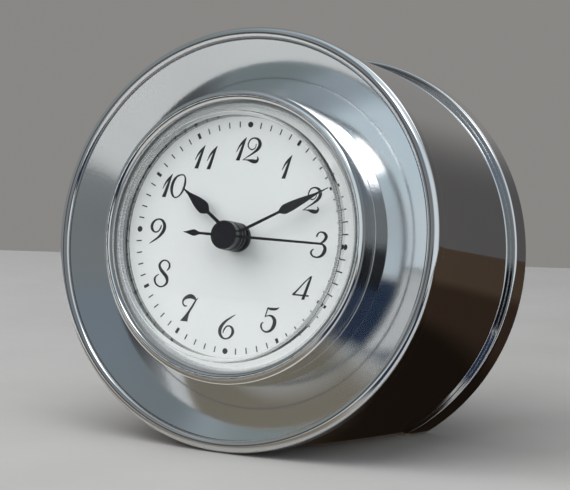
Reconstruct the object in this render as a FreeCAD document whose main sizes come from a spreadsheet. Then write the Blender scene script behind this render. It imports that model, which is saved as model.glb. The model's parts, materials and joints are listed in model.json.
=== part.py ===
"""Drum desk clock: a polished metal drum that leans back on an obliquely cut base, and a push-in quartz
clock insert that pulls out of its bore for the battery and for setting the time.

Every piece is drawn in the clock's own frame: Z out of the dial, Y towards 12 o'clock, X towards
3 o'clock, and the origin at the middle of the dial's front surface. One placement then leans the clock
back and stands it on its base: +Z up, -Y out of the front, origin in the middle of the base flat.
"""
import FreeCAD, Part
import math
import os

import Sketcher

doc = FreeCAD.newDocument("drum_desk_clock")

# ---------------------------------------------------------------- driving dimensions (mm, degrees)

DIMENSIONS = {
    # case
    "lean_angle": 9.7,
    "drum_radius": 51.0,
    "drum_wall": 1.6,
    "flange_radius": 52.5,
    "rim_front": -0.5,
    "rim_round": 1.7,
    "rim_back": -5.4,
    "face_outer_radius": 49.3,
    "face_outer_level": -1.7,
    "face_inner_level": -8.5,
    "face_depth": 1.8,
    "collar_radius": 36.0,
    "collar_front": -1.9,
    "sleeve_bore_radius": 33.2,
    "sleeve_wall": 1.4,
    "sleeve_back": -26.0,
    "rear_flange_front": -50.9,
    "rear_flange_back": -58.2,
    "edge_round": 0.7,
    "shelf_radius": 42.0,
    "shelf_depth": 2.0,
    "cover_radius": 47.9,
    "cover_thickness": 1.4,
    "felt_thickness": 0.8,
    "base_plate_thickness": 1.6,
    # clock insert
    "bezel_crest": 5.3,
    "bezel_crest_radius": 34.7,
    "bezel_lip_radius": 33.5,
    "window_radius": 30.8,
    "window_edge_level": 6.2,
    "crystal_thickness": 1.2,
    "crystal_seat_front": 3.3,
    "crown_level": 9.4,
    "dial_thickness": 0.5,
    "dial_radius": 34.2,
    "reflector_foot_radius": 31.2,
    "reflector_top_radius": 33.0,
    "cup_radius": 32.6,
    "cup_wall": 1.5,
    "cup_back": -21.0,
    "friction_ring_radius": 33.12,
    # hands
    "hub_radius": 3.6,
    "hour_level": 2.4,
    "minute_level": 3.9,
    "second_level": 5.3,
    "hour_reach": 19.0,
    "minute_reach": 28.4,
    "second_reach": 25.8,
    "second_tail": 12.2,
    # movement
    "movement_side": 40.0,
    "plate_front": -2.4,
    "plate_thickness": 1.2,
    "housing_back": -16.2,
    "housing_wall": 1.0,
    "bridge_front": -8.2,
    "bridge_thickness": 0.6,
    "wheel_thickness": 0.5,
    "pinion_length": 0.9,
    "arbor_radius": 0.45,
    "running_gap": 0.08,
    "bush_radius": 3.2,
    "hour_tube_radius": 1.9,
    "minute_tube_radius": 1.55,
    "third_distance": 9.0,
    "motion_distance": 9.6,
    "intermediate_distance": 7.2,
    "rotor_distance": 6.8,
    "cell_radius": 5.8,
    "cell_height": 5.4,
    "cell_offset": 11.0,
}

sheet = doc.addObject("Spreadsheet::Sheet", "dims")
for row, (alias, number) in enumerate(DIMENSIONS.items(), start=1):
    sheet.set(f"A{row}", alias)
    sheet.set(f"B{row}", str(number))
    sheet.setAlias(f"B{row}", alias)
doc.recompute()


class Size:
    """A number together with the spreadsheet expression that gives it."""

    def __init__(self, value, text):
        self.value = value
        self.text = text

    def joined(self, other, sign, value):
        return Size(value, f"({self.text} {sign} {other.text})")

    def __add__(self, other):
        other = as_size(other)
        return self.joined(other, "+", self.value + other.value)

    def __sub__(self, other):
        other = as_size(other)
        return self.joined(other, "-", self.value - other.value)

    def __mul__(self, other):
        other = as_size(other)
        return self.joined(other, "*", self.value * other.value)

    def __truediv__(self, other):
        other = as_size(other)
        return self.joined(other, "/", self.value / other.value)


def as_size(number):
    return number if isinstance(number, Size) else Size(float(number), repr(float(number)))


def cell(alias):
    """A driving dimension, read from the sheet and bound to it."""
    return Size(float(sheet.get(alias)), f"dims.{alias}")


def mm(alias):
    """A driving dimension as a plain number, for shapes that are computed."""
    return float(sheet.get(alias))


def bind(item, name, size):
    item.setExpression(name, as_size(size).text)


# ---------------------------------------------------------------- the clock's placement on its base

LEAN = math.radians(mm("lean_angle"))
RIM_MIDDLE = -3.1
DIAL_HEIGHT = mm("flange_radius") * math.cos(LEAN) - RIM_MIDDLE * math.sin(LEAN)


def base_line(axial):
    """How far below the clock's axis the base plane passes, at a distance along the axis."""
    return (DIAL_HEIGHT + axial * math.sin(LEAN)) / math.cos(LEAN)


def depth_on_base(axial):
    """How far behind the dial's centre, measured on the base, an axial station meets the base."""
    return -base_line(axial) * math.sin(LEAN) - axial * math.cos(LEAN)


BASE_MIDDLE = (depth_on_base(RIM_MIDDLE) + depth_on_base(mm("rear_flange_back"))) / 2
CLOCK_PLACEMENT = FreeCAD.Placement(
    FreeCAD.Vector(0, -BASE_MIDDLE, DIAL_HEIGHT),
    FreeCAD.Rotation(FreeCAD.Vector(1, 0, 0), 90 - mm("lean_angle")),
)

nodes = []


def keep(item, label):
    """Make an object one of the clock's pieces, in its place."""
    item.Label = label
    item.Placement = CLOCK_PLACEMENT * item.Placement
    nodes.append(item)
    return item


def shaped(label, shape):
    """A piece whose shape is computed."""
    item = doc.addObject("Part::Feature", label)
    item.Shape = shape
    return keep(item, label)


# ---------------------------------------------------------------- building helpers


def turned(name, profile):
    """A body turned about the clock's axis. The profile is a list of (radius, level) points, and a third
    value on a point is the radius of the arc that leads to it, bulging to the left when negative."""
    body = doc.addObject("PartDesign::Body", name)
    sketch = body.newObject("Sketcher::SketchObject", name + "_profile")
    plane = next(f for f in body.Origin.OriginFeatures if f.Role == "XZ_Plane")
    sketch.AttachmentSupport = (plane, [""])
    sketch.MapMode = "FlatFace"
    points = [(as_size(p[0]), as_size(p[1])) for p in profile]
    spots = [FreeCAD.Vector(r.value, z.value, 0) for r, z in points]
    for index, start in enumerate(spots):
        after = (index + 1) % len(spots)
        bend = profile[after][2] if len(profile[after]) > 2 else None
        sketch.addGeometry(edge_between(start, spots[after], bend), False)
    for index in range(len(spots)):
        join_to_next(sketch, profile, index)
    for index, (radius, level) in enumerate(points):
        vertex = start_vertex(profile, index)
        for kind, size in (("DistanceX", radius), ("DistanceY", level)):
            number = sketch.addConstraint(Sketcher.Constraint(kind, -1, 1, index, vertex, size.value))
            sketch.setExpression(f"Constraints[{number}]", size.text)
    revolution = body.newObject("PartDesign::Revolution", name + "_turned")
    revolution.Profile = sketch
    revolution.ReferenceAxis = (sketch, ["V_Axis"])
    revolution.Angle = 360
    doc.recompute()
    return body


def edge_between(start, end, bend):
    """A straight or round edge of a profile."""
    if bend is None:
        return Part.LineSegment(start, end)
    size = as_size(bend).value
    chord = end - start
    reach = math.sqrt(max(size * size - chord.Length**2 / 4, 0))
    across = FreeCAD.Vector(-chord.y, chord.x, 0).normalize()
    side = 1 if size > 0 else -1
    centre = (start + end) * 0.5 + across * (side * reach)
    away = ((start + end) * 0.5 - centre).normalize()
    return Part.Arc(start, centre + away * abs(size), end)


def is_round(profile, index):
    """Whether the edge that leaves a profile's point is an arc."""
    return len(profile[(index + 1) % len(profile)]) > 2


def start_vertex(profile, index):
    """Which end of its edge a profile's point is: an arc that runs clockwise is stored end first."""
    return 2 if is_round(profile, index) and clockwise(profile, index) else 1


def clockwise(profile, index):
    return as_size(profile[(index + 1) % len(profile)][2]).value < 0


def join_to_next(sketch, profile, index):
    """Tie an edge's far end to the next edge's near end, and give an arc its radius."""
    after = (index + 1) % len(profile)
    far = 3 - start_vertex(profile, index)
    near = start_vertex(profile, after)
    sketch.addConstraint(Sketcher.Constraint("Coincident", index, far, after, near))
    if is_round(profile, index):
        bend = as_size(profile[after][2])
        number = sketch.addConstraint(Sketcher.Constraint("Radius", index, abs(bend.value)))
        sketch.setExpression(f"Constraints[{number}]", f"abs({bend.text})")


def cylinder(radius, low, high, x=0, y=0):
    """A round bar along the clock's axis, between two levels."""
    item = doc.addObject("Part::Cylinder", "bar")
    bind(item, "Radius", radius)
    bind(item, "Height", as_size(high) - low)
    bind(item, "Placement.Base.x", x)
    bind(item, "Placement.Base.y", y)
    bind(item, "Placement.Base.z", low)
    return item


def block(wide, tall, low, high, x=0, y=0):
    """A rectangular block centred on (x, y), between two levels."""
    item = doc.addObject("Part::Box", "block")
    bind(item, "Length", wide)
    bind(item, "Width", tall)
    bind(item, "Height", as_size(high) - low)
    bind(item, "Placement.Base.x", as_size(x) - as_size(wide) / 2)
    bind(item, "Placement.Base.y", as_size(y) - as_size(tall) / 2)
    bind(item, "Placement.Base.z", low)
    return item


def cut(base, *tools):
    """The base with every tool taken away."""
    for tool in tools:
        item = doc.addObject("Part::Cut", "cut")
        item.Base = base
        item.Tool = tool
        base = item
    return base


def fuse(*items):
    item = doc.addObject("Part::MultiFuse", "fuse")
    item.Shapes = list(items)
    return item


def slab(low, high):
    """Everything between two heights over the base plane, seen from the clock's frame."""
    item = doc.addObject("Part::Box", "slab")
    reach = 200
    item.Length = reach
    item.Width = reach
    bind(item, "Height", as_size(high) - low)
    corner = FreeCAD.Placement(FreeCAD.Vector(-reach / 2, -reach / 2, as_size(low).value), FreeCAD.Rotation())
    item.Placement = CLOCK_PLACEMENT.inverse() * corner
    return item


def off_the_base(item):
    """A case piece, ground off flat where it would pass below the base plane."""
    return cut(item, slab(-40, 0))


# ---------------------------------------------------------------- case

DRUM_BORE = cell("drum_radius") - cell("drum_wall")
SLEEVE_RADIUS = cell("sleeve_bore_radius") + cell("sleeve_wall")
CONE_SLOPE = (cell("face_outer_level") - cell("face_inner_level")) / (
    cell("face_outer_radius") - cell("collar_radius")
)
PRESS_GAP = 0.02
SHELL_FRONT = -4.2


def cone_level(radius):
    """The dished face's level at a radius."""
    return cell("face_outer_level") - (cell("face_outer_radius") - radius) * CONE_SLOPE


def front_dish():
    """Dished front face with the thick rolled rim round it and a hole for the sleeve."""
    hole = SLEEVE_RADIUS + PRESS_GAP
    crest = cell("flange_radius") - cell("rim_round")
    inside = DRUM_BORE - 0.2
    profile = [
        (hole, cone_level(hole)),
        (cell("face_outer_radius"), cell("face_outer_level")),
        (crest, cell("rim_front"), -1.6),
        (cell("flange_radius"), cell("rim_front") - cell("rim_round"), cell("rim_round") * -1),
        (cell("flange_radius"), cell("rim_back") + cell("edge_round")),
        (cell("flange_radius") - cell("edge_round"), cell("rim_back"), cell("edge_round") * -1),
        (cell("drum_radius") + PRESS_GAP, cell("rim_back")),
        (cell("drum_radius") + PRESS_GAP, SHELL_FRONT + 0.6),
        (inside, cone_level(inside) - cell("face_depth")),
        (hole, cone_level(hole) - cell("face_depth")),
    ]
    return keep(off_the_base(turned("front_dish_body", profile)), "front_dish")


def drum_shell():
    """Tube that is the drum's wall."""
    back = cell("rear_flange_back") + cell("cover_thickness") + cell("shelf_depth") + 0.1
    wall = cut(
        cylinder(cell("drum_radius"), back + PRESS_GAP, SHELL_FRONT),
        cylinder(DRUM_BORE, back - 1, SHELL_FRONT + 1),
    )
    return keep(off_the_base(wall), "drum_shell")


def rear_flange():
    """Stepped ring on the drum's rear end, with a shelf inside that the back cover is screwed to."""
    recess = cell("rear_flange_back") + cell("cover_thickness") + 0.1
    shelf = recess + cell("shelf_depth")
    bore = cell("drum_radius") + PRESS_GAP
    profile = [
        (bore, cell("rear_flange_front")),
        (cell("flange_radius") - cell("edge_round"), cell("rear_flange_front")),
        (cell("flange_radius"), cell("rear_flange_front") - cell("edge_round"), cell("edge_round") * -1),
        (cell("flange_radius"), cell("rear_flange_back") + cell("edge_round")),
        (cell("flange_radius") - cell("edge_round"), cell("rear_flange_back"), cell("edge_round") * -1),
        (cell("cover_radius") + 0.1, cell("rear_flange_back")),
        (cell("cover_radius") + 0.1, recess),
        (cell("shelf_radius"), recess),
        (cell("shelf_radius"), shelf),
        (bore, shelf),
    ]
    ring = turned("rear_flange_body", profile)
    holes = [cylinder(SCREW_RADIUS, recess - 1, shelf + 1, x, y) for x, y in cover_screw_spots()]
    return keep(cut(off_the_base(ring), *holes), "rear_flange")


SCREW_RADIUS = 0.9
SCREW_HEAD_RADIUS = 1.8
SCREW_HEAD_DEPTH = 0.9
SCREW_GAP = 0.03


def cover_screw_spots():
    """Four screw positions on the shelf, between the quarters."""
    circle = (cell("shelf_radius") + cell("cover_radius")) / 2
    for quarter in range(4):
        turn = math.radians(45 + 90 * quarter)
        yield circle * math.cos(turn), circle * math.sin(turn)


def back_cover():
    """Flat disc that closes the drum from behind."""
    outer = cell("rear_flange_back") + 0.05
    inner = outer + cell("cover_thickness")
    disc = cylinder(cell("cover_radius"), outer, inner)
    tools = []
    for x, y in cover_screw_spots():
        tools.append(cylinder(SCREW_RADIUS + SCREW_GAP, outer - 1, inner + 1, x, y))
        tools.append(cylinder(SCREW_HEAD_RADIUS + SCREW_GAP, outer - 1, outer + SCREW_HEAD_DEPTH, x, y))
    return keep(cut(off_the_base(disc), *tools), "back_cover")


def back_cover_screws():
    """Four cheese-head screws with a driver slot, sunk in the back cover."""
    outer = cell("rear_flange_back") + 0.05
    tip = cell("rear_flange_back") + cell("cover_thickness") + cell("shelf_depth") + 0.6
    screws = []
    for x, y in cover_screw_spots():
        head = cylinder(SCREW_HEAD_RADIUS, outer + 0.05, outer + SCREW_HEAD_DEPTH, x, y)
        shank = cylinder(SCREW_RADIUS - SCREW_GAP, outer + 0.3, tip, x, y)
        slot = block(SCREW_HEAD_RADIUS * 2.4, 0.5, outer - 1, outer + 0.45, x, y)
        screws.append(cut(fuse(head, shank), slot))
    return keep(fuse(*screws), "back_cover_screws")


def inside_drum(low, high):
    """What lies between two heights over the base, inside the drum's wall."""
    item = doc.addObject("Part::Common", "inside_drum")
    front = SHELL_FRONT - 1
    back = cell("rear_flange_back") + cell("cover_thickness") + cell("shelf_depth") + 0.3
    item.Base = cylinder(DRUM_BORE - 0.05, back, front)
    item.Tool = slab(low, high)
    return item


def base_plate():
    """Thin metal plate that closes the oblique cut from inside."""
    low = cell("felt_thickness")
    return keep(inside_drum(low, low + cell("base_plate_thickness")), "base_plate")


def felt_pad():
    """Felt glued under the base plate, flush with the cut edge of the drum."""
    return keep(inside_drum(0, cell("felt_thickness")), "felt_pad")


def insert_sleeve():
    """Tube that the clock insert pushes into; its raised collar stands on the dished face."""
    seat = SLEEVE_RADIUS
    profile = [
        (cell("sleeve_bore_radius"), cell("collar_front")),
        (cell("collar_radius") - 0.3, cell("collar_front")),
        (cell("collar_radius"), cell("collar_front") - 0.3, -0.3),
        (cell("collar_radius"), cell("face_inner_level") + PRESS_GAP),
        (seat, cone_level(seat) + PRESS_GAP),
        (seat, cell("sleeve_back")),
        (cell("sleeve_bore_radius"), cell("sleeve_back")),
    ]
    return keep(turned("insert_sleeve_body", profile), "insert_sleeve")


# ---------------------------------------------------------------- clock insert

INSERT_REST = cell("collar_front") + 0.05
SEAT_BACK = cell("crystal_seat_front") - cell("crystal_thickness")


def bezel():
    """Polished ring with a round front that holds the crystal."""
    inside = cell("bezel_crest_radius")
    profile = [
        (cell("collar_radius"), INSERT_REST),
        (cell("collar_radius"), cell("bezel_crest") - 1.4),
        (cell("bezel_crest_radius"), cell("bezel_crest"), -1.4),
        (cell("bezel_lip_radius"), cell("bezel_crest") - 1.1, -1.3),
        (cell("bezel_lip_radius"), cell("crystal_seat_front") + 0.05),
        (inside, cell("crystal_seat_front") + 0.05),
        (inside, INSERT_REST),
    ]
    return keep(turned("bezel_body", profile), "bezel")


def crystal():
    """Clear moulded window: a seat under the bezel's lip, a bevel, a step and a gently crowned top."""
    seat = cell("bezel_crest_radius") - 0.15
    shoulder = cell("window_radius") - 0.8
    inside = cell("window_radius") - cell("crystal_thickness")
    under_crown = cell("crown_level") - cell("crystal_thickness")
    profile = [
        (0, cell("crown_level")),
        (shoulder, cell("window_edge_level"), -crown_radius(shoulder)),
        (cell("window_radius"), cell("window_edge_level") - 0.8, -0.8),
        (cell("window_radius") + 0.1, cell("crystal_seat_front") + 0.9),
        (cell("window_radius") + 1.8, cell("crystal_seat_front")),
        (seat, cell("crystal_seat_front")),
        (seat, SEAT_BACK),
        (inside, SEAT_BACK),
        (inside, cell("window_edge_level") - cell("crystal_thickness")),
        (0, under_crown, crown_radius(inside)),
    ]
    return keep(turned("crystal_body", profile), "crystal")


def crown_radius(reach):
    """The radius of the arc that rises from the window's edge to its crown."""
    rise = (cell("crown_level") - cell("window_edge_level")).value
    return (reach.value**2 + rise**2) / (2 * rise)


def reflector_ring():
    """Sloped inner ring between the dial and the crystal."""
    rim = cell("dial_radius")
    profile = [
        (cell("reflector_foot_radius"), 0.03),
        (cell("reflector_foot_radius"), 0.35),
        (cell("reflector_top_radius"), SEAT_BACK - 0.05),
        (rim, SEAT_BACK - 0.05),
        (rim, 0.03),
    ]
    return keep(turned("reflector_ring_body", profile), "reflector_ring")


def dial():
    """White metal disc with the hour figures, and a hole for the hand bush."""
    low = cell("dial_thickness") * -1
    disc = cylinder(cell("dial_radius"), low, 0)
    return keep(cut(disc, cylinder(cell("bush_radius") + 0.05, low - 1, 1)), "dial")


def insert_cup():
    """Plastic cup behind the dial, with holes in its back for the battery and the setting knob."""
    rim_front = cell("dial_thickness") * -1 - 0.02
    rim_radius = cell("dial_radius")
    floor = cell("cup_back") + cell("cup_wall")
    bore = cell("cup_radius") - cell("cup_wall")
    cup = cut(
        fuse(
            cylinder(cell("cup_radius"), cell("cup_back"), rim_front),
            cylinder(rim_radius, INSERT_REST, rim_front),
        ),
        cylinder(bore, floor, rim_front + 1),
    )
    battery_x, battery_y = CELL_SPOT
    knob_x, knob_y = MOTION_SPOT
    return keep(
        cut(
            cup,
            cylinder(COVER_RADIUS + 0.1, cell("cup_back") - 1, floor + 1, battery_x, battery_y),
            cylinder(1.3, cell("cup_back") - 1, floor + 1, knob_x, knob_y),
        ),
        "insert_cup",
    )


def friction_ring():
    """Soft band round the cup that grips the bore of the sleeve."""
    low = cell("sleeve_back") + 12
    band = cylinder(cell("friction_ring_radius"), low, low + 6)
    ring = cut(band, cylinder(cell("cup_radius") + PRESS_GAP, low - 1, low + 7))
    return keep(ring, "friction_ring")


# ---------------------------------------------------------------- places of the movement's axes


def polar(distance, degrees, start=(0.0, 0.0)):
    """A point at a distance and an angle from another one."""
    turn = math.radians(degrees)
    return start[0] + distance * math.cos(turn), start[1] + distance * math.sin(turn)


THIRD_ANGLE = 90
MOTION_ANGLE = -20
INTERMEDIATE_ANGLE = -90
ROTOR_ANGLE = 210
THIRD_SPOT = polar(mm("third_distance"), THIRD_ANGLE)
MOTION_SPOT = polar(mm("motion_distance"), MOTION_ANGLE)
INTERMEDIATE_SPOT = polar(mm("intermediate_distance"), INTERMEDIATE_ANGLE)
ROTOR_SPOT = polar(mm("rotor_distance"), ROTOR_ANGLE, INTERMEDIATE_SPOT)
CELL_SPOT = (-mm("cell_offset"), mm("cell_offset"))
COVER_RADIUS = 7.5

# ---------------------------------------------------------------- gears


def gear_face(teeth, module, phase):
    """Outline of a fine-pitch gear with straight-flanked teeth. The phase is one tooth's angle."""
    pitch_radius = module * teeth / 2
    pitch = 2 * math.pi / teeth
    root = pitch_radius - 1.15 * module
    tip = pitch_radius + 0.75 * module
    flank = ((root, -0.27), (tip, -0.075), (tip, 0.075), (root, 0.27))
    corners = []
    for tooth in range(teeth):
        for radius, share in flank:
            turn = phase + (tooth + share) * pitch
            corners.append(FreeCAD.Vector(radius * math.cos(turn), radius * math.sin(turn), 0))
    return Part.Face(Part.makePolygon(corners + corners[:1]))


def gear(teeth, module, phase, low, length):
    """A toothed disc or pinion that starts at a level."""
    solid = gear_face(teeth, module, phase).extrude(FreeCAD.Vector(0, 0, length))
    solid.translate(FreeCAD.Vector(0, 0, low))
    return solid


def meshing_phase(phase, teeth, other_teeth, direction):
    """The phase of a gear whose tooth fills the gap of the gear before it. The direction points from the
    first gear's centre to the second one's, in degrees."""
    line = math.radians(direction)
    share = ((line - phase) * teeth / (2 * math.pi)) % 1
    return line + math.pi - (0.5 - share) * 2 * math.pi / other_teeth


def bar(radius, low, high):
    return Part.makeCylinder(radius, high - low, FreeCAD.Vector(0, 0, low))


def arbor_piece(label, spot, solids, bores=()):
    """Gears and an arbor made in one piece, on an axis of the movement."""
    shape = solids[0].fuse(list(solids[1:])).removeSplitter()
    for bore in bores:
        shape = shape.cut(bore)
    shape.translate(FreeCAD.Vector(spot[0], spot[1], 0))
    return shaped(label, shape)


def distance_module(distance, teeth, other_teeth):
    """The module that makes two gears mesh over a distance."""
    return 2 * distance / (teeth + other_teeth)


CANNON_TEETH, MOTION_TEETH = 12, 36
MOTION_PINION_TEETH, HOUR_TEETH = 10, 40
SECONDS_PINION_TEETH, THIRD_TEETH = 8, 60
THIRD_PINION_TEETH, CENTRE_TEETH = 8, 64
INTERMEDIATE_PINION_TEETH, SECONDS_TEETH = 8, 32
ROTOR_PINION_TEETH, INTERMEDIATE_TEETH = 8, 60

SET_MODULE = distance_module(mm("motion_distance"), CANNON_TEETH, MOTION_TEETH)
HOUR_MODULE = distance_module(mm("motion_distance"), MOTION_PINION_TEETH, HOUR_TEETH)
THIRD_MODULE = distance_module(mm("third_distance"), SECONDS_PINION_TEETH, THIRD_TEETH)
CENTRE_MODULE = distance_module(mm("third_distance"), THIRD_PINION_TEETH, CENTRE_TEETH)
SECONDS_MODULE = distance_module(mm("intermediate_distance"), INTERMEDIATE_PINION_TEETH, SECONDS_TEETH)
ROTOR_MODULE = distance_module(mm("rotor_distance"), ROTOR_PINION_TEETH, INTERMEDIATE_TEETH)

HOUR_GEAR_LEVEL = -4.7
SET_GEAR_LEVEL = -6.0
CENTRE_GEAR_LEVEL = -7.6
THIRD_GEAR_LEVEL = -9.8
SECONDS_GEAR_LEVEL = -11.2
INTERMEDIATE_GEAR_LEVEL = -12.7
ROTOR_MAGNET_LEVEL = -14.6
PIVOT_LEVEL = -15.1


def pinion_level(level):
    """A pinion is a little longer than the wheel it meets, so it starts a little behind it."""
    return level - (mm("pinion_length") - mm("wheel_thickness")) / 2


def hour_wheel():
    """Hour wheel and the tube that carries the hour hand."""
    inner = mm("minute_tube_radius") + mm("running_gap")
    solids = (
        gear(HOUR_TEETH, HOUR_MODULE, hour_phase(), HOUR_GEAR_LEVEL, mm("wheel_thickness")),
        bar(mm("hour_tube_radius"), HOUR_GEAR_LEVEL - 0.2, mm("hour_level") - 0.02),
    )
    return arbor_piece("hour_wheel", (0, 0), solids, [bar(inner, -10, 10)])


def cannon_pinion():
    """Cannon pinion and the tube that carries the minute hand; the centre wheel grips its tail."""
    inner = mm("arbor_radius") + mm("running_gap")
    solids = (
        gear(CANNON_TEETH, SET_MODULE, 0, pinion_level(SET_GEAR_LEVEL), mm("pinion_length")),
        bar(mm("minute_tube_radius"), CENTRE_GEAR_LEVEL - 0.1, mm("minute_level") - 0.02),
    )
    return arbor_piece("cannon_pinion", (0, 0), solids, [bar(inner, -10, 10)])


def motion_phase():
    return meshing_phase(0, CANNON_TEETH, MOTION_TEETH, MOTION_ANGLE)


def hour_phase():
    return meshing_phase(motion_phase(), MOTION_PINION_TEETH, HOUR_TEETH, MOTION_ANGLE + 180)


def motion_wheel():
    """Motion wheel, its pinion and the long arbor that the setting knob turns."""
    solids = (
        gear(MOTION_TEETH, SET_MODULE, motion_phase(), SET_GEAR_LEVEL, mm("wheel_thickness")),
        gear(
            MOTION_PINION_TEETH,
            HOUR_MODULE,
            motion_phase(),
            pinion_level(HOUR_GEAR_LEVEL),
            mm("pinion_length"),
        ),
        bar(1.1, SET_GEAR_LEVEL, HOUR_GEAR_LEVEL),
        bar(0.8, mm("cup_back") - 1.2, HOUR_GEAR_LEVEL + 0.9),
    )
    return arbor_piece("motion_wheel", MOTION_SPOT, solids)


def setting_knob():
    """Ribbed knob on the motion wheel's arbor, behind the cup."""
    low = mm("cup_back") - 3.2
    ribs = 24
    face = gear_face(ribs, 0.42, 0)
    knob = face.extrude(FreeCAD.Vector(0, 0, 2.4))
    knob.translate(FreeCAD.Vector(0, 0, low))
    return arbor_piece("setting_knob", MOTION_SPOT, [knob], [bar(0.8 + PRESS_GAP, low + 1.2, low + 10)])


def centre_wheel():
    """Centre wheel, a friction fit on the cannon pinion's tail, so that the hands can be set."""
    solids = (
        gear(CENTRE_TEETH, CENTRE_MODULE, centre_phase(), CENTRE_GEAR_LEVEL, mm("wheel_thickness")),
    )
    grip = mm("minute_tube_radius") + 0.03
    return arbor_piece("centre_wheel", (0, 0), solids, [bar(grip, -10, 0)])


def third_phase():
    return meshing_phase(0, SECONDS_PINION_TEETH, THIRD_TEETH, THIRD_ANGLE)


def centre_phase():
    return meshing_phase(third_phase(), THIRD_PINION_TEETH, CENTRE_TEETH, THIRD_ANGLE + 180)


def third_wheel():
    """Third wheel and its pinion, between the seconds pinion and the centre wheel."""
    front = mm("plate_front") - mm("plate_thickness")
    solids = (
        gear(THIRD_TEETH, THIRD_MODULE, third_phase(), THIRD_GEAR_LEVEL, mm("wheel_thickness")),
        gear(
            THIRD_PINION_TEETH,
            CENTRE_MODULE,
            third_phase(),
            pinion_level(CENTRE_GEAR_LEVEL),
            mm("pinion_length"),
        ),
        bar(mm("arbor_radius"), PIVOT_LEVEL, front - 0.1),
    )
    return arbor_piece("third_wheel", THIRD_SPOT, solids)


def seconds_wheel():
    """Seconds wheel, its pinion and the thin arbor that carries the seconds hand."""
    solids = (
        gear(SECONDS_TEETH, SECONDS_MODULE, 0, SECONDS_GEAR_LEVEL, mm("wheel_thickness")),
        gear(SECONDS_PINION_TEETH, THIRD_MODULE, 0, pinion_level(THIRD_GEAR_LEVEL), mm("pinion_length")),
        bar(mm("arbor_radius"), PIVOT_LEVEL, mm("second_level") + 1.2),
    )
    return arbor_piece("seconds_wheel", (0, 0), solids)


def intermediate_phase():
    return meshing_phase(0, SECONDS_TEETH, INTERMEDIATE_PINION_TEETH, INTERMEDIATE_ANGLE)


def intermediate_wheel():
    """Intermediate wheel between the rotor and the seconds wheel."""
    solids = (
        gear(
            INTERMEDIATE_TEETH,
            ROTOR_MODULE,
            intermediate_phase(),
            INTERMEDIATE_GEAR_LEVEL,
            mm("wheel_thickness"),
        ),
        gear(
            INTERMEDIATE_PINION_TEETH,
            SECONDS_MODULE,
            intermediate_phase(),
            pinion_level(SECONDS_GEAR_LEVEL),
            mm("pinion_length"),
        ),
        bar(mm("arbor_radius"), PIVOT_LEVEL, bridge_back() - 0.1),
    )
    return arbor_piece("intermediate_wheel", INTERMEDIATE_SPOT, solids)


def bridge_back():
    return mm("bridge_front") - mm("bridge_thickness")


def rotor():
    """Stepping motor's rotor: a round magnet and a pinion on one arbor."""
    phase = meshing_phase(intermediate_phase(), INTERMEDIATE_TEETH, ROTOR_PINION_TEETH, ROTOR_ANGLE)
    solids = (
        gear(
            ROTOR_PINION_TEETH,
            ROTOR_MODULE,
            phase,
            pinion_level(INTERMEDIATE_GEAR_LEVEL),
            mm("pinion_length"),
        ),
        bar(ROTOR_RADIUS, ROTOR_MAGNET_LEVEL, ROTOR_MAGNET_LEVEL + 1.2),
        bar(mm("arbor_radius"), PIVOT_LEVEL, bridge_back() - 0.1),
    )
    return arbor_piece("rotor", ROTOR_SPOT, solids)


# ---------------------------------------------------------------- rest of the movement

ROTOR_RADIUS = 2.3
HOUSING_FRONT = cell("plate_front") - cell("plate_thickness")
HOUSING_INSIDE = cell("movement_side") - cell("housing_wall") * 2
SCREW_CORNER = 17.6
COIL_CENTRE = (-6.0, -16.0)
COIL_LEVEL = -13.9
COIL_LENGTH = 17.0
CORE_REACH = 10.5


def corners(reach):
    """The four corners of a square."""
    return [(sx * reach, sy * reach) for sx in (-1, 1) for sy in (-1, 1)]


def movement_plate():
    """Front plate of the movement, which the hand bush stands in."""
    plate = block(cell("movement_side"), cell("movement_side"), HOUSING_FRONT, cell("plate_front"))
    holes = [cylinder(cell("bush_radius") + PRESS_GAP, -8, 0)]
    holes += [cylinder(0.75, HOUSING_FRONT - 1, HOUSING_FRONT + 0.9, x, y) for x, y in corners(SCREW_CORNER)]
    return keep(cut(plate, *holes), "movement_plate")


def movement_housing():
    """Rear shell of the movement, with holes for the arbors, the cell and the screws."""
    back = cell("housing_back")
    floor = back + cell("housing_wall")
    shell = cut(
        block(cell("movement_side"), cell("movement_side"), back, HOUSING_FRONT - PRESS_GAP),
        block(HOUSING_INSIDE, HOUSING_INSIDE, floor, HOUSING_FRONT + 1),
    )
    spots = [(mm("cell_offset") * -1, mm("cell_offset"), mm("cell_radius") + 0.15)]
    spots.append((*MOTION_SPOT, 0.9))
    spots += [(x, y, 0.75) for x, y in corners(SCREW_CORNER)]
    holes = [cylinder(radius, back - 1, floor + 1, x, y) for x, y, radius in spots]
    return keep(cut(shell, *holes), "movement_housing")


def movement_bridge():
    """Thin inner plate that carries the front pivots of the intermediate wheel and the rotor."""
    front = cell("bridge_front")
    back = front - cell("bridge_thickness")
    side = HOUSING_INSIDE - 0.1
    plate = block(side, side, back, front)
    spots = [(0, 0, 1.4), (*THIRD_SPOT, 1.4), (*MOTION_SPOT, 0.9)]
    spots += [(x, y, 0.8) for x, y in corners(SCREW_CORNER)]
    holes = [cylinder(radius, back - 1, front + 1, x, y) for x, y, radius in spots]
    return keep(cut(plate, *holes), "movement_bridge")


def movement_screws():
    """Four screws that hold the movement's shell to its front plate."""
    back = cell("housing_back")
    screws = []
    for x, y in corners(SCREW_CORNER):
        head = cylinder(1.4, back - 0.9, back - 0.02, x, y)
        shank = cylinder(0.7, back - 0.3, HOUSING_FRONT + 0.8, x, y)
        slot = block(3.2, 0.4, back - 2, back - 0.5, x, y)
        screws.append(cut(fuse(head, shank), slot))
    return keep(fuse(*screws), "movement_screws")


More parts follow.
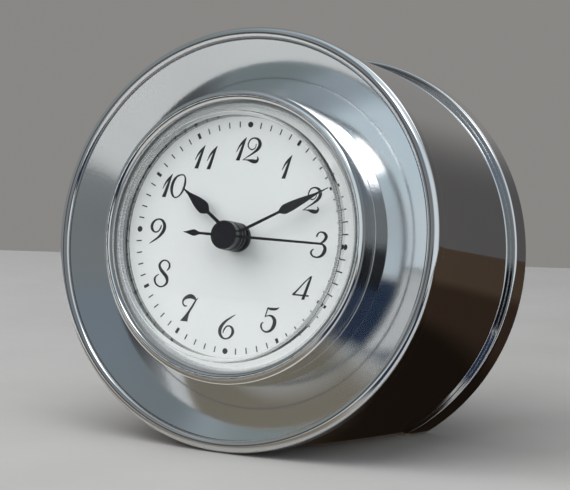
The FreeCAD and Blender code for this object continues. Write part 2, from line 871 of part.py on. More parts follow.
def hand_bush():
    """Round bush through the dial, with a collar on the dial, that the hour tube turns in."""
    outer = fuse(cylinder(cell("bush_radius"), HOUSING_FRONT, 1.2), cylinder(cell("hub_radius"), 0.03, 1.2))
    bore = cell("hour_tube_radius") + cell("running_gap")
    return keep(cut(outer, cylinder(bore, -8, 8)), "hand_bush")


def coil_bobbin():
    """Plastic former with two end flanges for the coil."""
    x, y = COIL_CENTRE
    half = COIL_LENGTH / 2
    sleeve = Part.makeBox(COIL_LENGTH, 2.2, 1.8, FreeCAD.Vector(x - half, y - 1.1, COIL_LEVEL - 0.9))
    for side in (-half, half - 0.6):
        flange = Part.makeBox(0.6, 4.6, 2.4, FreeCAD.Vector(x + side, y - 2.3, COIL_LEVEL - 1.2))
        sleeve = sleeve.fuse(flange)
    core = Part.makeBox(COIL_LENGTH + 2, 1.5, 1.1, FreeCAD.Vector(x - half - 1, y - 0.75, COIL_LEVEL - 0.55))
    return shaped("coil_bobbin", sleeve.cut(core).removeSplitter())


def coil_winding():
    """Copper winding, a rounded bar round the bobbin."""
    x, y = COIL_CENTRE
    length = COIL_LENGTH - 1.3
    start = FreeCAD.Vector(x - length / 2, y, COIL_LEVEL)
    winding = Part.makeCylinder(2.2, length, start, FreeCAD.Vector(1, 0, 0))
    winding = winding.common(
        Part.makeBox(length, 4.4, 2.3, FreeCAD.Vector(start.x, y - 2.2, COIL_LEVEL - 1.15))
    )
    bore = Part.makeBox(length + 2, 2.24, 1.84, FreeCAD.Vector(start.x - 1, y - 1.12, COIL_LEVEL - 0.92))
    return shaped("coil_winding", winding.cut(bore))


def stator():
    """Soft-iron stator: a core through the coil, two arms and a plate with a hole round the rotor."""
    x, y = COIL_CENTRE
    rotor_x, rotor_y = ROTOR_SPOT
    low = COIL_LEVEL - 0.5
    core = Part.makeBox(2 * CORE_REACH, 1.4, 1.0, FreeCAD.Vector(x - CORE_REACH, y - 0.7, low))
    top = rotor_y + 3.4
    left = Part.makeBox(1.6, top - y + 0.7, 1.0, FreeCAD.Vector(x - CORE_REACH, y - 0.7, low))
    right = Part.makeBox(1.6, top - y + 0.7, 1.0, FreeCAD.Vector(x + CORE_REACH - 1.6, y - 0.7, low))
    foot = FreeCAD.Vector(x - CORE_REACH, rotor_y - 2.6, low)
    plate = Part.makeBox(2 * CORE_REACH, top - rotor_y + 2.6, 1.0, foot)
    hole = bar(ROTOR_RADIUS + 0.5, low - 1, low + 2)
    hole.translate(FreeCAD.Vector(rotor_x, rotor_y, 0))
    gap = bar(0.9, low - 1, low + 2)
    gap.translate(FreeCAD.Vector(*INTERMEDIATE_SPOT, 0))
    return shaped("stator", core.fuse([left, right, plate]).removeSplitter().cut(hole).cut(gap))


BOARD_LOW = -14.2
BOARD_HIGH = -13.4
BOARD_X = 12.2
BOARD_Y = -12.0


def circuit_board():
    """Small printed circuit board beside the coil."""
    board = block(10.0, 12.0, BOARD_LOW, BOARD_HIGH, BOARD_X, BOARD_Y)
    hole = cylinder(1.2, BOARD_LOW - 1, BOARD_HIGH + 1, SCREW_CORNER, -SCREW_CORNER)
    return keep(cut(board, hole), "circuit_board")


def quartz_can():
    """Metal can of the tuning-fork quartz, lying on the board."""
    can = Part.makeCylinder(
        1.0, 6.0, FreeCAD.Vector(BOARD_X - 3.0, BOARD_Y - 3, BOARD_HIGH + 1.02), FreeCAD.Vector(0, 1, 0)
    )
    return shaped("quartz_can", can)


def chip_cap():
    """Drop of resin over the clock chip."""
    dome = Part.makeSphere(3.0, FreeCAD.Vector(BOARD_X + 1.8, BOARD_Y + 2.6, BOARD_HIGH - 2.0))
    above = Part.makeBox(
        8, 8, 4, FreeCAD.Vector(BOARD_X - 2.2, BOARD_Y - 1.4, BOARD_HIGH + 0.01)
    )
    return shaped("chip_cap", dome.common(above))


CELL_FRONT = -13.4


def battery():
    """Button cell with its smaller negative cap towards the front."""
    x, y = CELL_SPOT
    front = CELL_FRONT
    can = cylinder(cell("cell_radius"), front - cell("cell_height").value, front - 0.4, x, y)
    cap = cylinder(cell("cell_radius") - 1.4, front - 1, front, x, y)
    return keep(fuse(can, cap), "battery")


def battery_contact_minus():
    """Spring strip in front of the cell that presses on its negative cap."""
    x, y = CELL_SPOT
    strip = block(9.0, 3.0, CELL_FRONT + 0.05, CELL_FRONT + 0.3, x + 1.5, y)
    tail = block(0.25, 3.0, CELL_FRONT - 1.2, CELL_FRONT + 0.3, x + 6.1, y)
    return keep(fuse(strip, tail), "battery_contact_minus")


def battery_contact_plus():
    """Spring strip that touches the side of the cell."""
    x, y = CELL_SPOT
    side = x - mm("cell_radius") - 0.35
    strip = block(0.25, 5.0, CELL_FRONT - 1.6, CELL_FRONT + 0.6, side, y)
    foot = block(1.6, 5.0, CELL_FRONT + 0.35, CELL_FRONT + 0.6, side + 0.7, y)
    return keep(fuse(strip, foot), "battery_contact_plus")


def battery_cover():
    """Round cover with a coin slot that closes the battery hole in the back of the cup."""
    x, y = CELL_SPOT
    back = cell("cup_back")
    disc = cylinder(COVER_RADIUS, back - 0.3, back + cell("cup_wall"), x, y)
    slot = block(9.0, 1.4, back - 1, back + 0.5, x, y)
    hollow = cylinder(COVER_RADIUS - 1.0, back + 0.9, back + 4, x, y)
    return keep(cut(disc, slot, hollow), "battery_cover")


# ---------------------------------------------------------------- hands

HOUR_ANGLE = 305.125
MINUTE_ANGLE = 61.5
SECOND_ANGLE = 90.0


def blade(stations, smooth):
    """A symmetrical flat blade along Y, from (distance, half width) stations. The stations between the two
    numbers in smooth lie on a smooth curve, and the others are joined by straight edges."""
    first, last = smooth
    edges = []
    for side in (1, -1):
        points = [FreeCAD.Vector(side * half, reach, 0) for reach, half in stations]
        runs = [points[i : i + 2] for i in range(first)]
        runs += [points[i : i + 2] for i in range(last, len(points) - 1)]
        edges += [Part.LineSegment(*run).toShape() for run in runs]
        if last > first:
            curve = Part.BSplineCurve()
            curve.interpolate(points[first : last + 1])
            edges.append(curve.toShape())
    for reach, half in (stations[0], stations[-1]):
        across = FreeCAD.Vector(half, reach, 0), FreeCAD.Vector(-half, reach, 0)
        edges.append(Part.LineSegment(*across).toShape())
    return Part.Face(Part.Wire(Part.__sortEdges__(edges)))


def hand(label, blades, clock_angle, level, thick, hub_height, bore):
    """A hand: flat blades and a round hub with a hole, turned to its clock angle."""
    shape = bar(mm("hub_radius"), 0, hub_height)
    for face in blades:
        shape = shape.fuse(face.extrude(FreeCAD.Vector(0, 0, thick)))
    shape = shape.removeSplitter().cut(bar(bore, -1, hub_height + 1))
    shape.rotate(FreeCAD.Vector(0, 0, 0), FreeCAD.Vector(0, 0, 1), -clock_angle)
    shape.translate(FreeCAD.Vector(0, 0, level))
    return shaped(label, shape)


def pear(reach, start, widest, half_width, neck):
    """Stations of a thin arm that swells into a pear and runs out to a fine point."""
    body = reach - widest
    return [
        (2.0, neck),
        (start, neck),
        (start + 0.3 * (widest - start), neck + 0.55 * (half_width - neck)),
        (start + 0.65 * (widest - start), neck + 0.9 * (half_width - neck)),
        (widest, half_width),
        (widest + 0.12 * body, half_width * 0.86),
        (widest + 0.3 * body, half_width * 0.45),
        (widest + 0.5 * body, half_width * 0.22),
        (reach, 0.1),
    ]


def hour_hand():
    face = blade(pear(mm("hour_reach"), 9.5, 11.2, 1.6, 0.5), (1, 7))
    bore = mm("minute_tube_radius") + mm("running_gap")
    return hand("hour_hand", [face], HOUR_ANGLE, mm("hour_level"), 0.3, 0.9, bore)


def minute_hand():
    face = blade(pear(mm("minute_reach"), 14.3, 15.9, 1.2, 0.4), (1, 7))
    return hand("minute_hand", [face], MINUTE_ANGLE, mm("minute_level"), 0.3, 0.9, 0.6)


def second_hand():
    """Seconds hand: a long straight arm, and a short tail that ends in a slim lozenge."""
    arm = blade([(0.5, 0.36), (mm("second_reach"), 0.27)], (0, 0))
    pear_tail = [(7.7, 0.32), (8.4, 0.5), (9.3, 0.8), (10.5, 0.5)]
    tail = blade([(0.5, 0.36), *pear_tail, (mm("second_tail"), 0.08)], (2, 2))
    tail.rotate(FreeCAD.Vector(0, 0, 0), FreeCAD.Vector(0, 0, 1), 180)
    bore = mm("arbor_radius") + PRESS_GAP
    return hand("second_hand", [arm, tail], SECOND_ANGLE, mm("second_level"), 0.25, 0.4, bore)


def hand_cap():
    """Black button pressed on the seconds arbor over the hands' hubs."""
    low = cell("second_level") + 0.42
    cap = cylinder(cell("hub_radius") - 0.1, low, low + 2.1)
    return keep(cut(cap, cylinder(cell("arbor_radius") + PRESS_GAP, low - 1, low + 0.9)), "hand_cap")


# ---------------------------------------------------------------- build, check and write

for make in (
    front_dish,
    drum_shell,
    rear_flange,
    back_cover,
    back_cover_screws,
    base_plate,
    felt_pad,
    insert_sleeve,
    bezel,
    crystal,
    reflector_ring,
    dial,
    insert_cup,
    friction_ring,
    hand_bush,
    movement_plate,
    movement_bridge,
    movement_housing,
    movement_screws,
    hour_wheel,
    cannon_pinion,
    motion_wheel,
    setting_knob,
    centre_wheel,
    third_wheel,
    seconds_wheel,
    intermediate_wheel,
    rotor,
    coil_bobbin,
    coil_winding,
    stator,
    circuit_board,
    quartz_can,
    chip_cap,
    battery,
    battery_contact_minus,
    battery_contact_plus,
    battery_cover,
    hour_hand,
    minute_hand,
    second_hand,
    hand_cap,
):
    make()
doc.recompute()

for item in doc.Objects:
    if {"Invalid", "Error"} & set(item.State):
        raise RuntimeError(f"{item.Label} failed: {item.State}")
for item in nodes:
    if item.Shape.isNull() or not item.Shape.isValid():
        raise RuntimeError(f"{item.Label} has no valid shape")

os.makedirs("parts", exist_ok=True)
for item in nodes:
    item.Shape.exportStep(f"parts/{item.Label}.step")
    print(f"{item.Label}: {item.Shape.Volume:.2f} mm3, {len(item.Shape.Solids)} solids")
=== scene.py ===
"""Looks of the leaning drum desk clock: turned metal pieces, the printed dial, hands, crystal and studio."""

import json
import math

import bpy
import bmesh
from mathutils import Matrix, Vector, noise


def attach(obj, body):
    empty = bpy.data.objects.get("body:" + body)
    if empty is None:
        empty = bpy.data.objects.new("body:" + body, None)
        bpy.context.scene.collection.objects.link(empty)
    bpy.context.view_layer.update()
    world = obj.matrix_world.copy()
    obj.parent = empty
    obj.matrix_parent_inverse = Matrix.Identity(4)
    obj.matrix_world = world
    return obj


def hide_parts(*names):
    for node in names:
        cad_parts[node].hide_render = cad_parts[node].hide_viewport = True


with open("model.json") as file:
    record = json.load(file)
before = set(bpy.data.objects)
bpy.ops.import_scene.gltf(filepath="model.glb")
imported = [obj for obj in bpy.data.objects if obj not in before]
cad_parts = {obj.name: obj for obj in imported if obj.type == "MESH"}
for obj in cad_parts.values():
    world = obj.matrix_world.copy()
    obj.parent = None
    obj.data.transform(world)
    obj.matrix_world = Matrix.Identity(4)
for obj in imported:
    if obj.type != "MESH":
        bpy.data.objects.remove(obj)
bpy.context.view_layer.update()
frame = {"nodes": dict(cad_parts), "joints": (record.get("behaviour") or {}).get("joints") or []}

MM = 0.001

# ---------------------------------------------------------------- the dial's own axes

SPINDLE = next(joint for joint in frame["joints"] if joint["name"] == "seconds_spin")
OUT = Vector(SPINDLE["axis"]).normalized()
ACROSS = Vector((1, 0, 0))
TWELVE = OUT.cross(ACROSS)
DIAL_CENTRE = Vector(SPINDLE["pos_m"])


def place(x, y, level):
    """A point given in millimetres over the dial: right, towards twelve, and out of its face."""
    return DIAL_CENTRE + (ACROSS * x + TWELVE * y + OUT * level) * MM


def polar(radius, degrees):
    """Right and up distances of a point at a radius and a clockwise angle from twelve."""
    turn = math.radians(degrees)
    return radius * math.sin(turn), radius * math.cos(turn)


# ---------------------------------------------------------------- meshes


def piece(name, mesh_data, body, material, nodes=(), crease=38):
    """A finished object that rides on a body and stands for CAD nodes."""
    obj = bpy.data.objects.new(name, mesh_data)
    bpy.context.scene.collection.objects.link(obj)
    mesh_data.materials.append(material)
    mesh_data.polygons.foreach_set("use_smooth", [True] * len(mesh_data.polygons))
    mesh_data.set_sharp_from_angle(angle=math.radians(crease))
    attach(obj, body)
    for node in nodes:
        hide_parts(node)
    return obj


def mesh_of(name, vertices, faces):
    """Mesh of a closed surface whose faces look outwards."""
    data = bpy.data.meshes.new(name)
    data.from_pydata(vertices, [], faces)
    face_outwards(data)
    return data


def face_outwards(data):
    """Turns the faces of a closed mesh outwards."""
    work = bmesh.new()
    work.from_mesh(data)
    bmesh.ops.recalc_face_normals(work, faces=work.faces)
    work.to_mesh(data)
    work.free()


def arc_between(start, end, bend):
    """Points of a round edge after its start. It bulges to the left of its direction for a negative bend."""
    start, end = Vector(start), Vector(end)
    chord = end - start
    reach = math.sqrt(max(bend * bend - chord.length_squared / 4, 0))
    side = Vector((-chord.y, chord.x)).normalized() * math.copysign(reach, bend)
    centre = (start + end) / 2 + side
    first = start - centre
    sweep = math.copysign(2 * math.asin(min(chord.length / (2 * abs(bend)), 1)), bend)
    steps = max(3, math.ceil(abs(sweep) / math.radians(5)))
    points = []
    for step in range(1, steps):
        turned = first.copy()
        turned.rotate(Matrix.Rotation(sweep * step / steps, 2))
        points.append(tuple(centre + turned))
    return points + [tuple(end)]


def straight_between(start, end):
    """Points of a straight edge after its start, with one close to each end to hold the shading flat."""
    start, end = Vector(start), Vector(end)
    length = (end - start).length
    hold = 0.12
    if length < 4 * hold:
        return [tuple(end)]
    along = (end - start) / length
    return [tuple(start + along * hold), tuple(end - along * hold), tuple(end)]


def softened(profile, size):
    """The profile with a small round in place of each corner between two straight edges."""
    points = []
    count = len(profile)
    for index, corner in enumerate(profile):
        before = Vector(profile[index - 1][:2])
        after = profile[(index + 1) % count]
        here = Vector(corner[:2])
        arrives, leaves = here - before, Vector(after[:2]) - here
        plain = len(corner) == 2 and len(after) == 2 and here.x > 0
        turn = abs(arrives.angle_signed(leaves, 0)) if plain else 0
        back = size * math.tan(turn / 2) if turn > 0.3 and turn < 3.0 else 0
        if not back or back > min(arrives.length, leaves.length) * 0.45:
            points.append(corner)
            continue
        start = here - arrives.normalized() * back
        end = here + leaves.normalized() * back
        bend = math.copysign(size, arrives.x * leaves.y - arrives.y * leaves.x)
        points.append(tuple(start))
        points.append((end.x, end.y, bend))
    return points


def outline(profile, size):
    """Closed profile of (radius, level) points, with arcs divided and corners softened."""
    profile = softened(profile, size) if size else profile
    points = []
    for index, corner in enumerate(profile):
        start = profile[index - 1][:2]
        end = corner[:2]
        if len(corner) == 3:
            points += arc_between(start, end, corner[2])
        else:
            points += straight_between(start, end)
    return points


def lathe(name, profile, segments=256, size=0.15, centre=(0, 0)):
    """Mesh turned about the dial's axis, or about a parallel one through a point of the dial."""
    points = outline(profile, size)
    vertices, rings = [], []
    for radius, level in points:
        count = segments if radius > 1e-6 else 1
        rings.append(range(len(vertices), len(vertices) + count))
        for step in range(count):
            x, y = polar(radius, 360 * step / segments)
            vertices.append(place(x + centre[0], y + centre[1], level))
    faces = []
    for index, ring in enumerate(rings):
        faces += band(rings[index - 1], ring, segments)
    return mesh_of(name, vertices, faces)


def band(low, high, segments):
    """Faces between two rings, either of which may be a single point on the axis."""
    faces = []
    if len(low) == 1 and len(high) == 1:
        return faces
    for step in range(segments):
        after = (step + 1) % segments
        corners = [low[step % len(low)], low[after % len(low)]]
        corners += [high[after % len(high)], high[step % len(high)]]
        faces.append(list(dict.fromkeys(corners)))
    return faces


def box_over(low, high, reach=0.4):
    """Temporary block between two heights, for cutting."""
    work = bmesh.new()
    bmesh.ops.create_cube(work, size=1)
    bmesh.ops.scale(work, vec=(reach, reach, high - low), verts=work.verts)
    bmesh.ops.translate(work, vec=(0, 0, (low + high) / 2), verts=work.verts)
    data = bpy.data.meshes.new("cutter")
    work.to_mesh(data)
    work.free()
    return data


def combined(data, tool, operation):
    """The mesh after an exact boolean with another one, which is used up."""
    base = bpy.data.objects.new("base", data)
    cutter = bpy.data.objects.new("cutter", tool)
    for obj in (base, cutter):
        bpy.context.scene.collection.objects.link(obj)
    change = base.modifiers.new("cut", "BOOLEAN")
    change.operation = operation
    change.solver = "EXACT"
    change.object = cutter
    changed = base.evaluated_get(bpy.context.evaluated_depsgraph_get())
    result = bpy.data.meshes.new_from_object(changed)
    result.materials.clear()
    bpy.data.objects.remove(base)
    bpy.data.objects.remove(cutter)
    bpy.data.meshes.remove(tool)
    return result


def ground_off(data):
    """A case piece cut flat where it would pass below the table."""
    return combined(data, box_over(-0.05, 0), "DIFFERENCE")


def joined(name, parts):
    """One mesh made of several."""
    work = bmesh.new()
    for part in parts:
        work.from_mesh(part)
    data = bpy.data.meshes.new(name)
    work.to_mesh(data)
    work.free()
    for part in parts:
        bpy.data.meshes.remove(part)
    return data


# ---------------------------------------------------------------- node helpers


class Shade:
    """A material being built, with short calls for the nodes it uses."""

    def __init__(self, name):
        """An empty material with an output and the object's own coordinates."""
        self.material = bpy.data.materials.new(name)
        self.material.use_nodes = True
        self.tree = self.material.node_tree
        self.tree.nodes.clear()
        self.output = self.tree.nodes.new("ShaderNodeOutputMaterial")
        self.spots = self.tree.nodes.new("ShaderNodeTexCoord").outputs["Object"]

    def node(self, kind, **settings):
        """A new node with some of its settings changed."""
        made = self.tree.nodes.new(kind)
        for key, value in settings.items():
            setattr(made, key, value)
        return made

    def link(self, source, target):
        """Joins an output to an input."""
        self.tree.links.new(source, target)

    def surface(self, **sockets):
        """The main shader, with numbers and colours set on its sockets and outputs linked to them."""
        shader = self.node("ShaderNodeBsdfPrincipled")
        for key, value in sockets.items():
            socket = shader.inputs[key.replace("_", " ")]
            if isinstance(value, bpy.types.NodeSocket):
                self.link(value, socket)
            else:
                socket.default_value = value
        self.link(shader.outputs[0], self.output.inputs["Surface"])
        return shader

    def noise(self, scale, detail=3, roughness=0.5, stretch=None):
        """Noise in metres of the piece, drawn out along the axes if stretch is given."""
        grain = self.node("ShaderNodeTexNoise")
        grain.inputs["Scale"].default_value = scale
        grain.inputs["Detail"].default_value = detail
        grain.inputs["Roughness"].default_value = roughness
        if stretch:
            mapping = self.node("ShaderNodeMapping")
            mapping.inputs["Scale"].default_value = stretch
            self.link(self.spots, mapping.inputs["Vector"])
            self.link(mapping.outputs[0], grain.inputs["Vector"])
        else:
            self.link(self.spots, grain.inputs["Vector"])
        return grain.outputs["Fac"]

    def ranged(self, source, low, high, start=0.3, end=0.7):
        """The source's middle part spread over a new range."""
        change = self.node("ShaderNodeMapRange")
        change.inputs["From Min"].default_value = start
        change.inputs["From Max"].default_value = end
        change.inputs["To Min"].default_value = low
        change.inputs["To Max"].default_value = high
        self.link(source, change.inputs["Value"])
        return change.outputs["Result"]

    def blended(self, factor, low, high):
        """A colour between two, by a factor."""
        mix = self.node("ShaderNodeMix", data_type="RGBA")
        self.link(factor, mix.inputs["Factor"])
        mix.inputs["A"].default_value = (*low, 1)
        mix.inputs["B"].default_value = (*high, 1)
        return mix.outputs["Result"]

    def bump(self, height, depth, strength=1.0):
        """A normal from a height, with its depth in metres."""
        relief = self.node("ShaderNodeBump")
        relief.inputs["Strength"].default_value = strength
        relief.inputs["Distance"].default_value = depth
        self.link(height, relief.inputs["Height"])
        return relief.outputs["Normal"]


def metal(name, low, high, smooth, rough, wave_depth, wave_scale=60):
    """Plated metal: a slow drift of colour, soft smudges in its gloss and a faint waviness."""
    shade = Shade(name)
    drift = shade.noise(18, 2)
    smudges = shade.noise(95, 5, 0.6)
    waves = shade.noise(wave_scale, 2, 0.4)
    shade.surface(
        Base_Color=shade.blended(shade.ranged(drift, 0, 1), low, high),
        Metallic=1.0,
        Roughness=shade.ranged(smudges, smooth, rough),
        Normal=shade.bump(waves, wave_depth),
    )
    return shade.material


def plastic(name, low, high, smooth, rough, grain=900, depth=0.00001, **extra):
    """Moulded plastic: a fine grain, a slow drift of colour and uneven gloss."""
    shade = Shade(name)
    drift = shade.noise(40, 3)
    texture = shade.noise(grain, 3, 0.6)
    shade.surface(
        Base_Color=shade.blended(shade.ranged(drift, 0, 1), low, high),
        Roughness=shade.ranged(shade.noise(120, 4), smooth, rough),
        Normal=shade.bump(texture, depth),
        **extra,
    )
    return shade.material


def satin_face():
    """Plated face with a faint orange-peel that blurs what it mirrors."""
    shade = Shade("satin_face")
    drift = shade.noise(14, 3)
    peel = shade.noise(1300, 2, 0.5)
    smudges = shade.noise(60, 5, 0.65)
    shade.surface(
        Base_Color=shade.blended(shade.ranged(drift, 0, 1), (0.83, 0.865, 0.885), (0.87, 0.90, 0.915)),
        Metallic=1.0,
        Roughness=shade.ranged(smudges, 0.10, 0.14),
        Normal=shade.bump(peel, 0.000006),
    )
    return shade.material


def clear_window():
    """Clear moulded acrylic that lets the lamps through to the dial."""
    shade = Shade("clear_acrylic")
    haze = shade.noise(150, 4)
    shader = shade.surface(
        Base_Color=(0.985, 0.995, 0.99, 1),
        Roughness=shade.ranged(haze, 0.0, 0.012),
        IOR=1.49,
        Transmission_Weight=1.0,
    )
    through = shade.node("ShaderNodeBsdfTransparent")
    through.inputs["Color"].default_value = (0.95, 0.955, 0.955, 1)
    rays = shade.node("ShaderNodeLightPath")
    mix = shade.node("ShaderNodeMixShader")
    shade.link(rays.outputs["Is Shadow Ray"], mix.inputs["Fac"])
    shade.link(shader.outputs[0], mix.inputs[1])
    shade.link(through.outputs[0], mix.inputs[2])
    shade.link(mix.outputs[0], shade.output.inputs["Surface"])
    return shade.material


def dial_paint():
    """Cool white dial paint with a very fine tooth."""
    return plastic("dial_paint", (0.82, 0.84, 0.84), (0.86, 0.875, 0.87), 0.42, 0.55, 2600, 0.000003)


def printing_ink():
    """Black printing ink that dried a little uneven."""
    return plastic("printing_ink", (0.008, 0.008, 0.010), (0.016, 0.016, 0.019), 0.28, 0.42, 3000, 0.000004)


def felt():
    """Black-green felt of short matted fibres."""
    shade = Shade("felt")
    fibres = shade.noise(2200, 6, 0.75, (1, 0.35, 1))
    patches = shade.noise(160, 4)
    shade.surface(
        Base_Color=shade.blended(shade.ranged(patches, 0, 1), (0.010, 0.012, 0.011), (0.030, 0.034, 0.031)),
        Roughness=shade.ranged(fibres, 0.88, 1.0),
        Sheen_Weight=0.5,
        Sheen_Roughness=0.5,
        Normal=shade.bump(fibres, 0.0002),
    )
    return shade.material


def circuit_green():
    """Green solder mask with faint tracks under it."""
    shade = Shade("solder_mask")
    tracks = shade.noise(700, 1, 0.3, (1, 1, 0.2))
    copper = shade.ranged(tracks, 0, 1, 0.48, 0.52)
    shade.surface(
        Base_Color=shade.blended(copper, (0.01, 0.09, 0.04), (0.02, 0.16, 0.07)),
        Roughness=shade.ranged(shade.noise(200, 3), 0.25, 0.4),
        Normal=shade.bump(tracks, 0.00002),
    )
    return shade.material


def wound_wire():
    """Fine enamelled copper wire, seen as a tight winding."""
    shade = Shade("wound_wire")
    turns = shade.noise(260, 1, 0.3, (18, 1, 1))
    shade.surface(
        Base_Color=shade.blended(shade.ranged(turns, 0, 1), (0.45, 0.14, 0.05), (0.72, 0.30, 0.13)),
        Metallic=0.85,
        Roughness=shade.ranged(turns, 0.25, 0.42),
        Normal=shade.bump(turns, 0.00006),
    )
    return shade.material


FACE = satin_face()
CHROME = metal("polished_chrome", (0.80, 0.81, 0.83), (0.88, 0.89, 0.90), 0.025, 0.06, 0.000004)
BEZEL = metal("bezel_chrome", (0.80, 0.81, 0.82), (0.90, 0.90, 0.91), 0.02, 0.05, 0.000003)
STEEL = metal("steel", (0.48, 0.48, 0.47), (0.60, 0.60, 0.58), 0.22, 0.38, 0.00001, 400)
COLLAR = metal("black_nickel", (0.035, 0.035, 0.040), (0.06, 0.06, 0.065), 0.12, 0.2, 0.000004)
CRYSTAL = clear_window()
SILVER_LOW, SILVER_HIGH = (0.62, 0.63, 0.64), (0.74, 0.75, 0.76)
RING = plastic("silvered_plastic", SILVER_LOW, SILVER_HIGH, 0.16, 0.28, 1500, 0.000004, Metallic=0.7)
PAINT = dial_paint()
INK = printing_ink()
HANDS = plastic("hand_lacquer", (0.006, 0.006, 0.008), (0.014, 0.014, 0.017), 0.10, 0.2, 1200, 0.000003)
BLACK = plastic("black_plastic", (0.012, 0.012, 0.013), (0.028, 0.028, 0.030), 0.32, 0.5)
GREY = plastic("grey_plastic", (0.28, 0.28, 0.27), (0.38, 0.38, 0.36), 0.35, 0.5)
ACETAL = plastic("gear_acetal", (0.66, 0.63, 0.56), (0.78, 0.76, 0.70), 0.3, 0.45)
RUBBER = plastic("soft_band", (0.05, 0.05, 0.05), (0.09, 0.09, 0.09), 0.6, 0.8, 700, 0.00003)
RESIN = plastic("chip_resin", (0.004, 0.004, 0.005), (0.012, 0.012, 0.013), 0.2, 0.4)
BRASS = metal("brass", (0.55, 0.38, 0.14), (0.70, 0.50, 0.20), 0.16, 0.3, 0.00001, 300)
MAGNET = metal("magnet", (0.14, 0.14, 0.15), (0.22, 0.22, 0.23), 0.35, 0.5, 0.00001, 300)
WIRE = wound_wire()
BOARD = circuit_green()
FELT = felt()

# ---------------------------------------------------------------- case

DRUM = 51.0
BORE = 49.4
FLANGE = 52.5
SLEEVE = 34.6
FIT = 0.02
FACE_EDGE = 49.3
FACE_LEVEL = -1.7
SLOPE = 6.8 / 13.3
SHEET = 1.8
FLANGE_FRONT = -50.9
FLANGE_BACK = -58.2
FLANGE_SHOULDER = 51.8
RECESS = -56.7
RECESS_RADIUS = 48.0
SHELF_FRONT = -54.7
SHELF_RADIUS = 42.0
COVER = 47.9
COVER_BACK = -58.15
COVER_FRONT = -56.75
SCREW_CIRCLE = 44.95
HEAD_RADIUS = 1.8
HEAD_HEIGHT = 0.9
SHANK_RADIUS = 0.87
SCREW_TIP = -52.9
SCREW_TURNS = (0.35, 1.1, -0.6, 2.0)
DRIVER_LENGTH, DRIVER_WIDTH, DRIVER_DEPTH = 4.4, 0.5, 0.45


def cone_level(radius):
    """Level of the dished face at a radius."""
    return FACE_LEVEL - (FACE_EDGE - radius) * SLOPE


def front_dish():
    """Dished face and its rolled rim. The rim is polished brighter than the face."""
    hole, inside = SLEEVE + FIT, BORE - 0.2
    profile = [
        (hole, cone_level(hole)),
        (FACE_EDGE, FACE_LEVEL),
        (50.8, -0.5, -1.6),
        (FLANGE, -2.2, -1.7),
        (FLANGE, -4.7),
        (FLANGE_SHOULDER, -5.4, -0.7),
        (DRUM + FIT, -5.4),
        (DRUM + FIT, -3.6),
        (inside, cone_level(inside) - SHEET),
        (hole, cone_level(hole) - SHEET),
    ]
    data = ground_off(lathe("front_dish", profile, 384, 0.0))
    piece("dished_face", data, "case", CHROME, ["front_dish"])
    data.materials.append(FACE)
    for polygon in data.polygons:
        spot = polygon.center - DIAL_CENTRE
        level = spot.dot(OUT) / MM
        radius = (spot - OUT * spot.dot(OUT)).length / MM
        if radius < FACE_EDGE + FIT and polygon.normal.dot(OUT) > 0.5 and level < FACE_LEVEL + 0.1:
            polygon.material_index = 1


def drum_shell():
    """Tube that is the drum's wall."""
    profile = [
        (DRUM, SHELF_FRONT + FIT),
        (DRUM, -4.2),
        (BORE, -4.2),
        (BORE, SHELF_FRONT + FIT),
    ]
    data = ground_off(lathe("drum_shell", profile, 384, 0.1))
    return piece("drum_wall", data, "case", CHROME, ["drum_shell"])


def rear_flange():
    """Ring round the drum's rear end, with a recess for the back cover."""
    bore = DRUM + FIT
    profile = [
        (bore, FLANGE_FRONT),
        (FLANGE_SHOULDER, FLANGE_FRONT),
        (FLANGE, FLANGE_FRONT - 0.7, -0.7),
        (FLANGE, FLANGE_BACK + 0.7),
        (FLANGE_SHOULDER, FLANGE_BACK, -0.7),
        (RECESS_RADIUS, FLANGE_BACK),
        (RECESS_RADIUS, RECESS),
        (SHELF_RADIUS, RECESS),
        (SHELF_RADIUS, SHELF_FRONT),
        (bore, SHELF_FRONT),
    ]
    data = ground_off(lathe("rear_flange", profile, 384, 0.12))
    return piece("rear_ring", data, "case", CHROME, ["rear_flange"])


def cover_screw_spots():
    """Right and up distances of the cover's four screws."""
    return [polar(SCREW_CIRCLE, 45 + 90 * quarter) for quarter in range(4)]


def screw_hole(x, y):
    """Temporary shape of a screw's hole, wide for the head and narrow for the shank."""
    head, shank, floor_level, front = 1.83, 0.93, -55.95, -55
    profile = [
        (0, COVER_BACK - 1),
        (head, COVER_BACK - 1),
        (head, floor_level),
        (shank, floor_level),
        (shank, front),
        (0, front),
    ]
    return lathe("screw_hole", profile, 48, 0.0, (x, y))


def back_cover():
    """Disc that closes the drum, with a hole for each screw."""
    profile = [
        (0, COVER_BACK),
        (0, COVER_FRONT),
        (COVER, COVER_FRONT),
        (COVER, COVER_BACK),
    ]
    data = lathe("back_cover", profile, 384, 0.18)
    for x, y in cover_screw_spots():
        data = combined(data, screw_hole(x, y), "DIFFERENCE")
    return piece("cover_disc", ground_off(data), "case", BLACK, ["back_cover"])


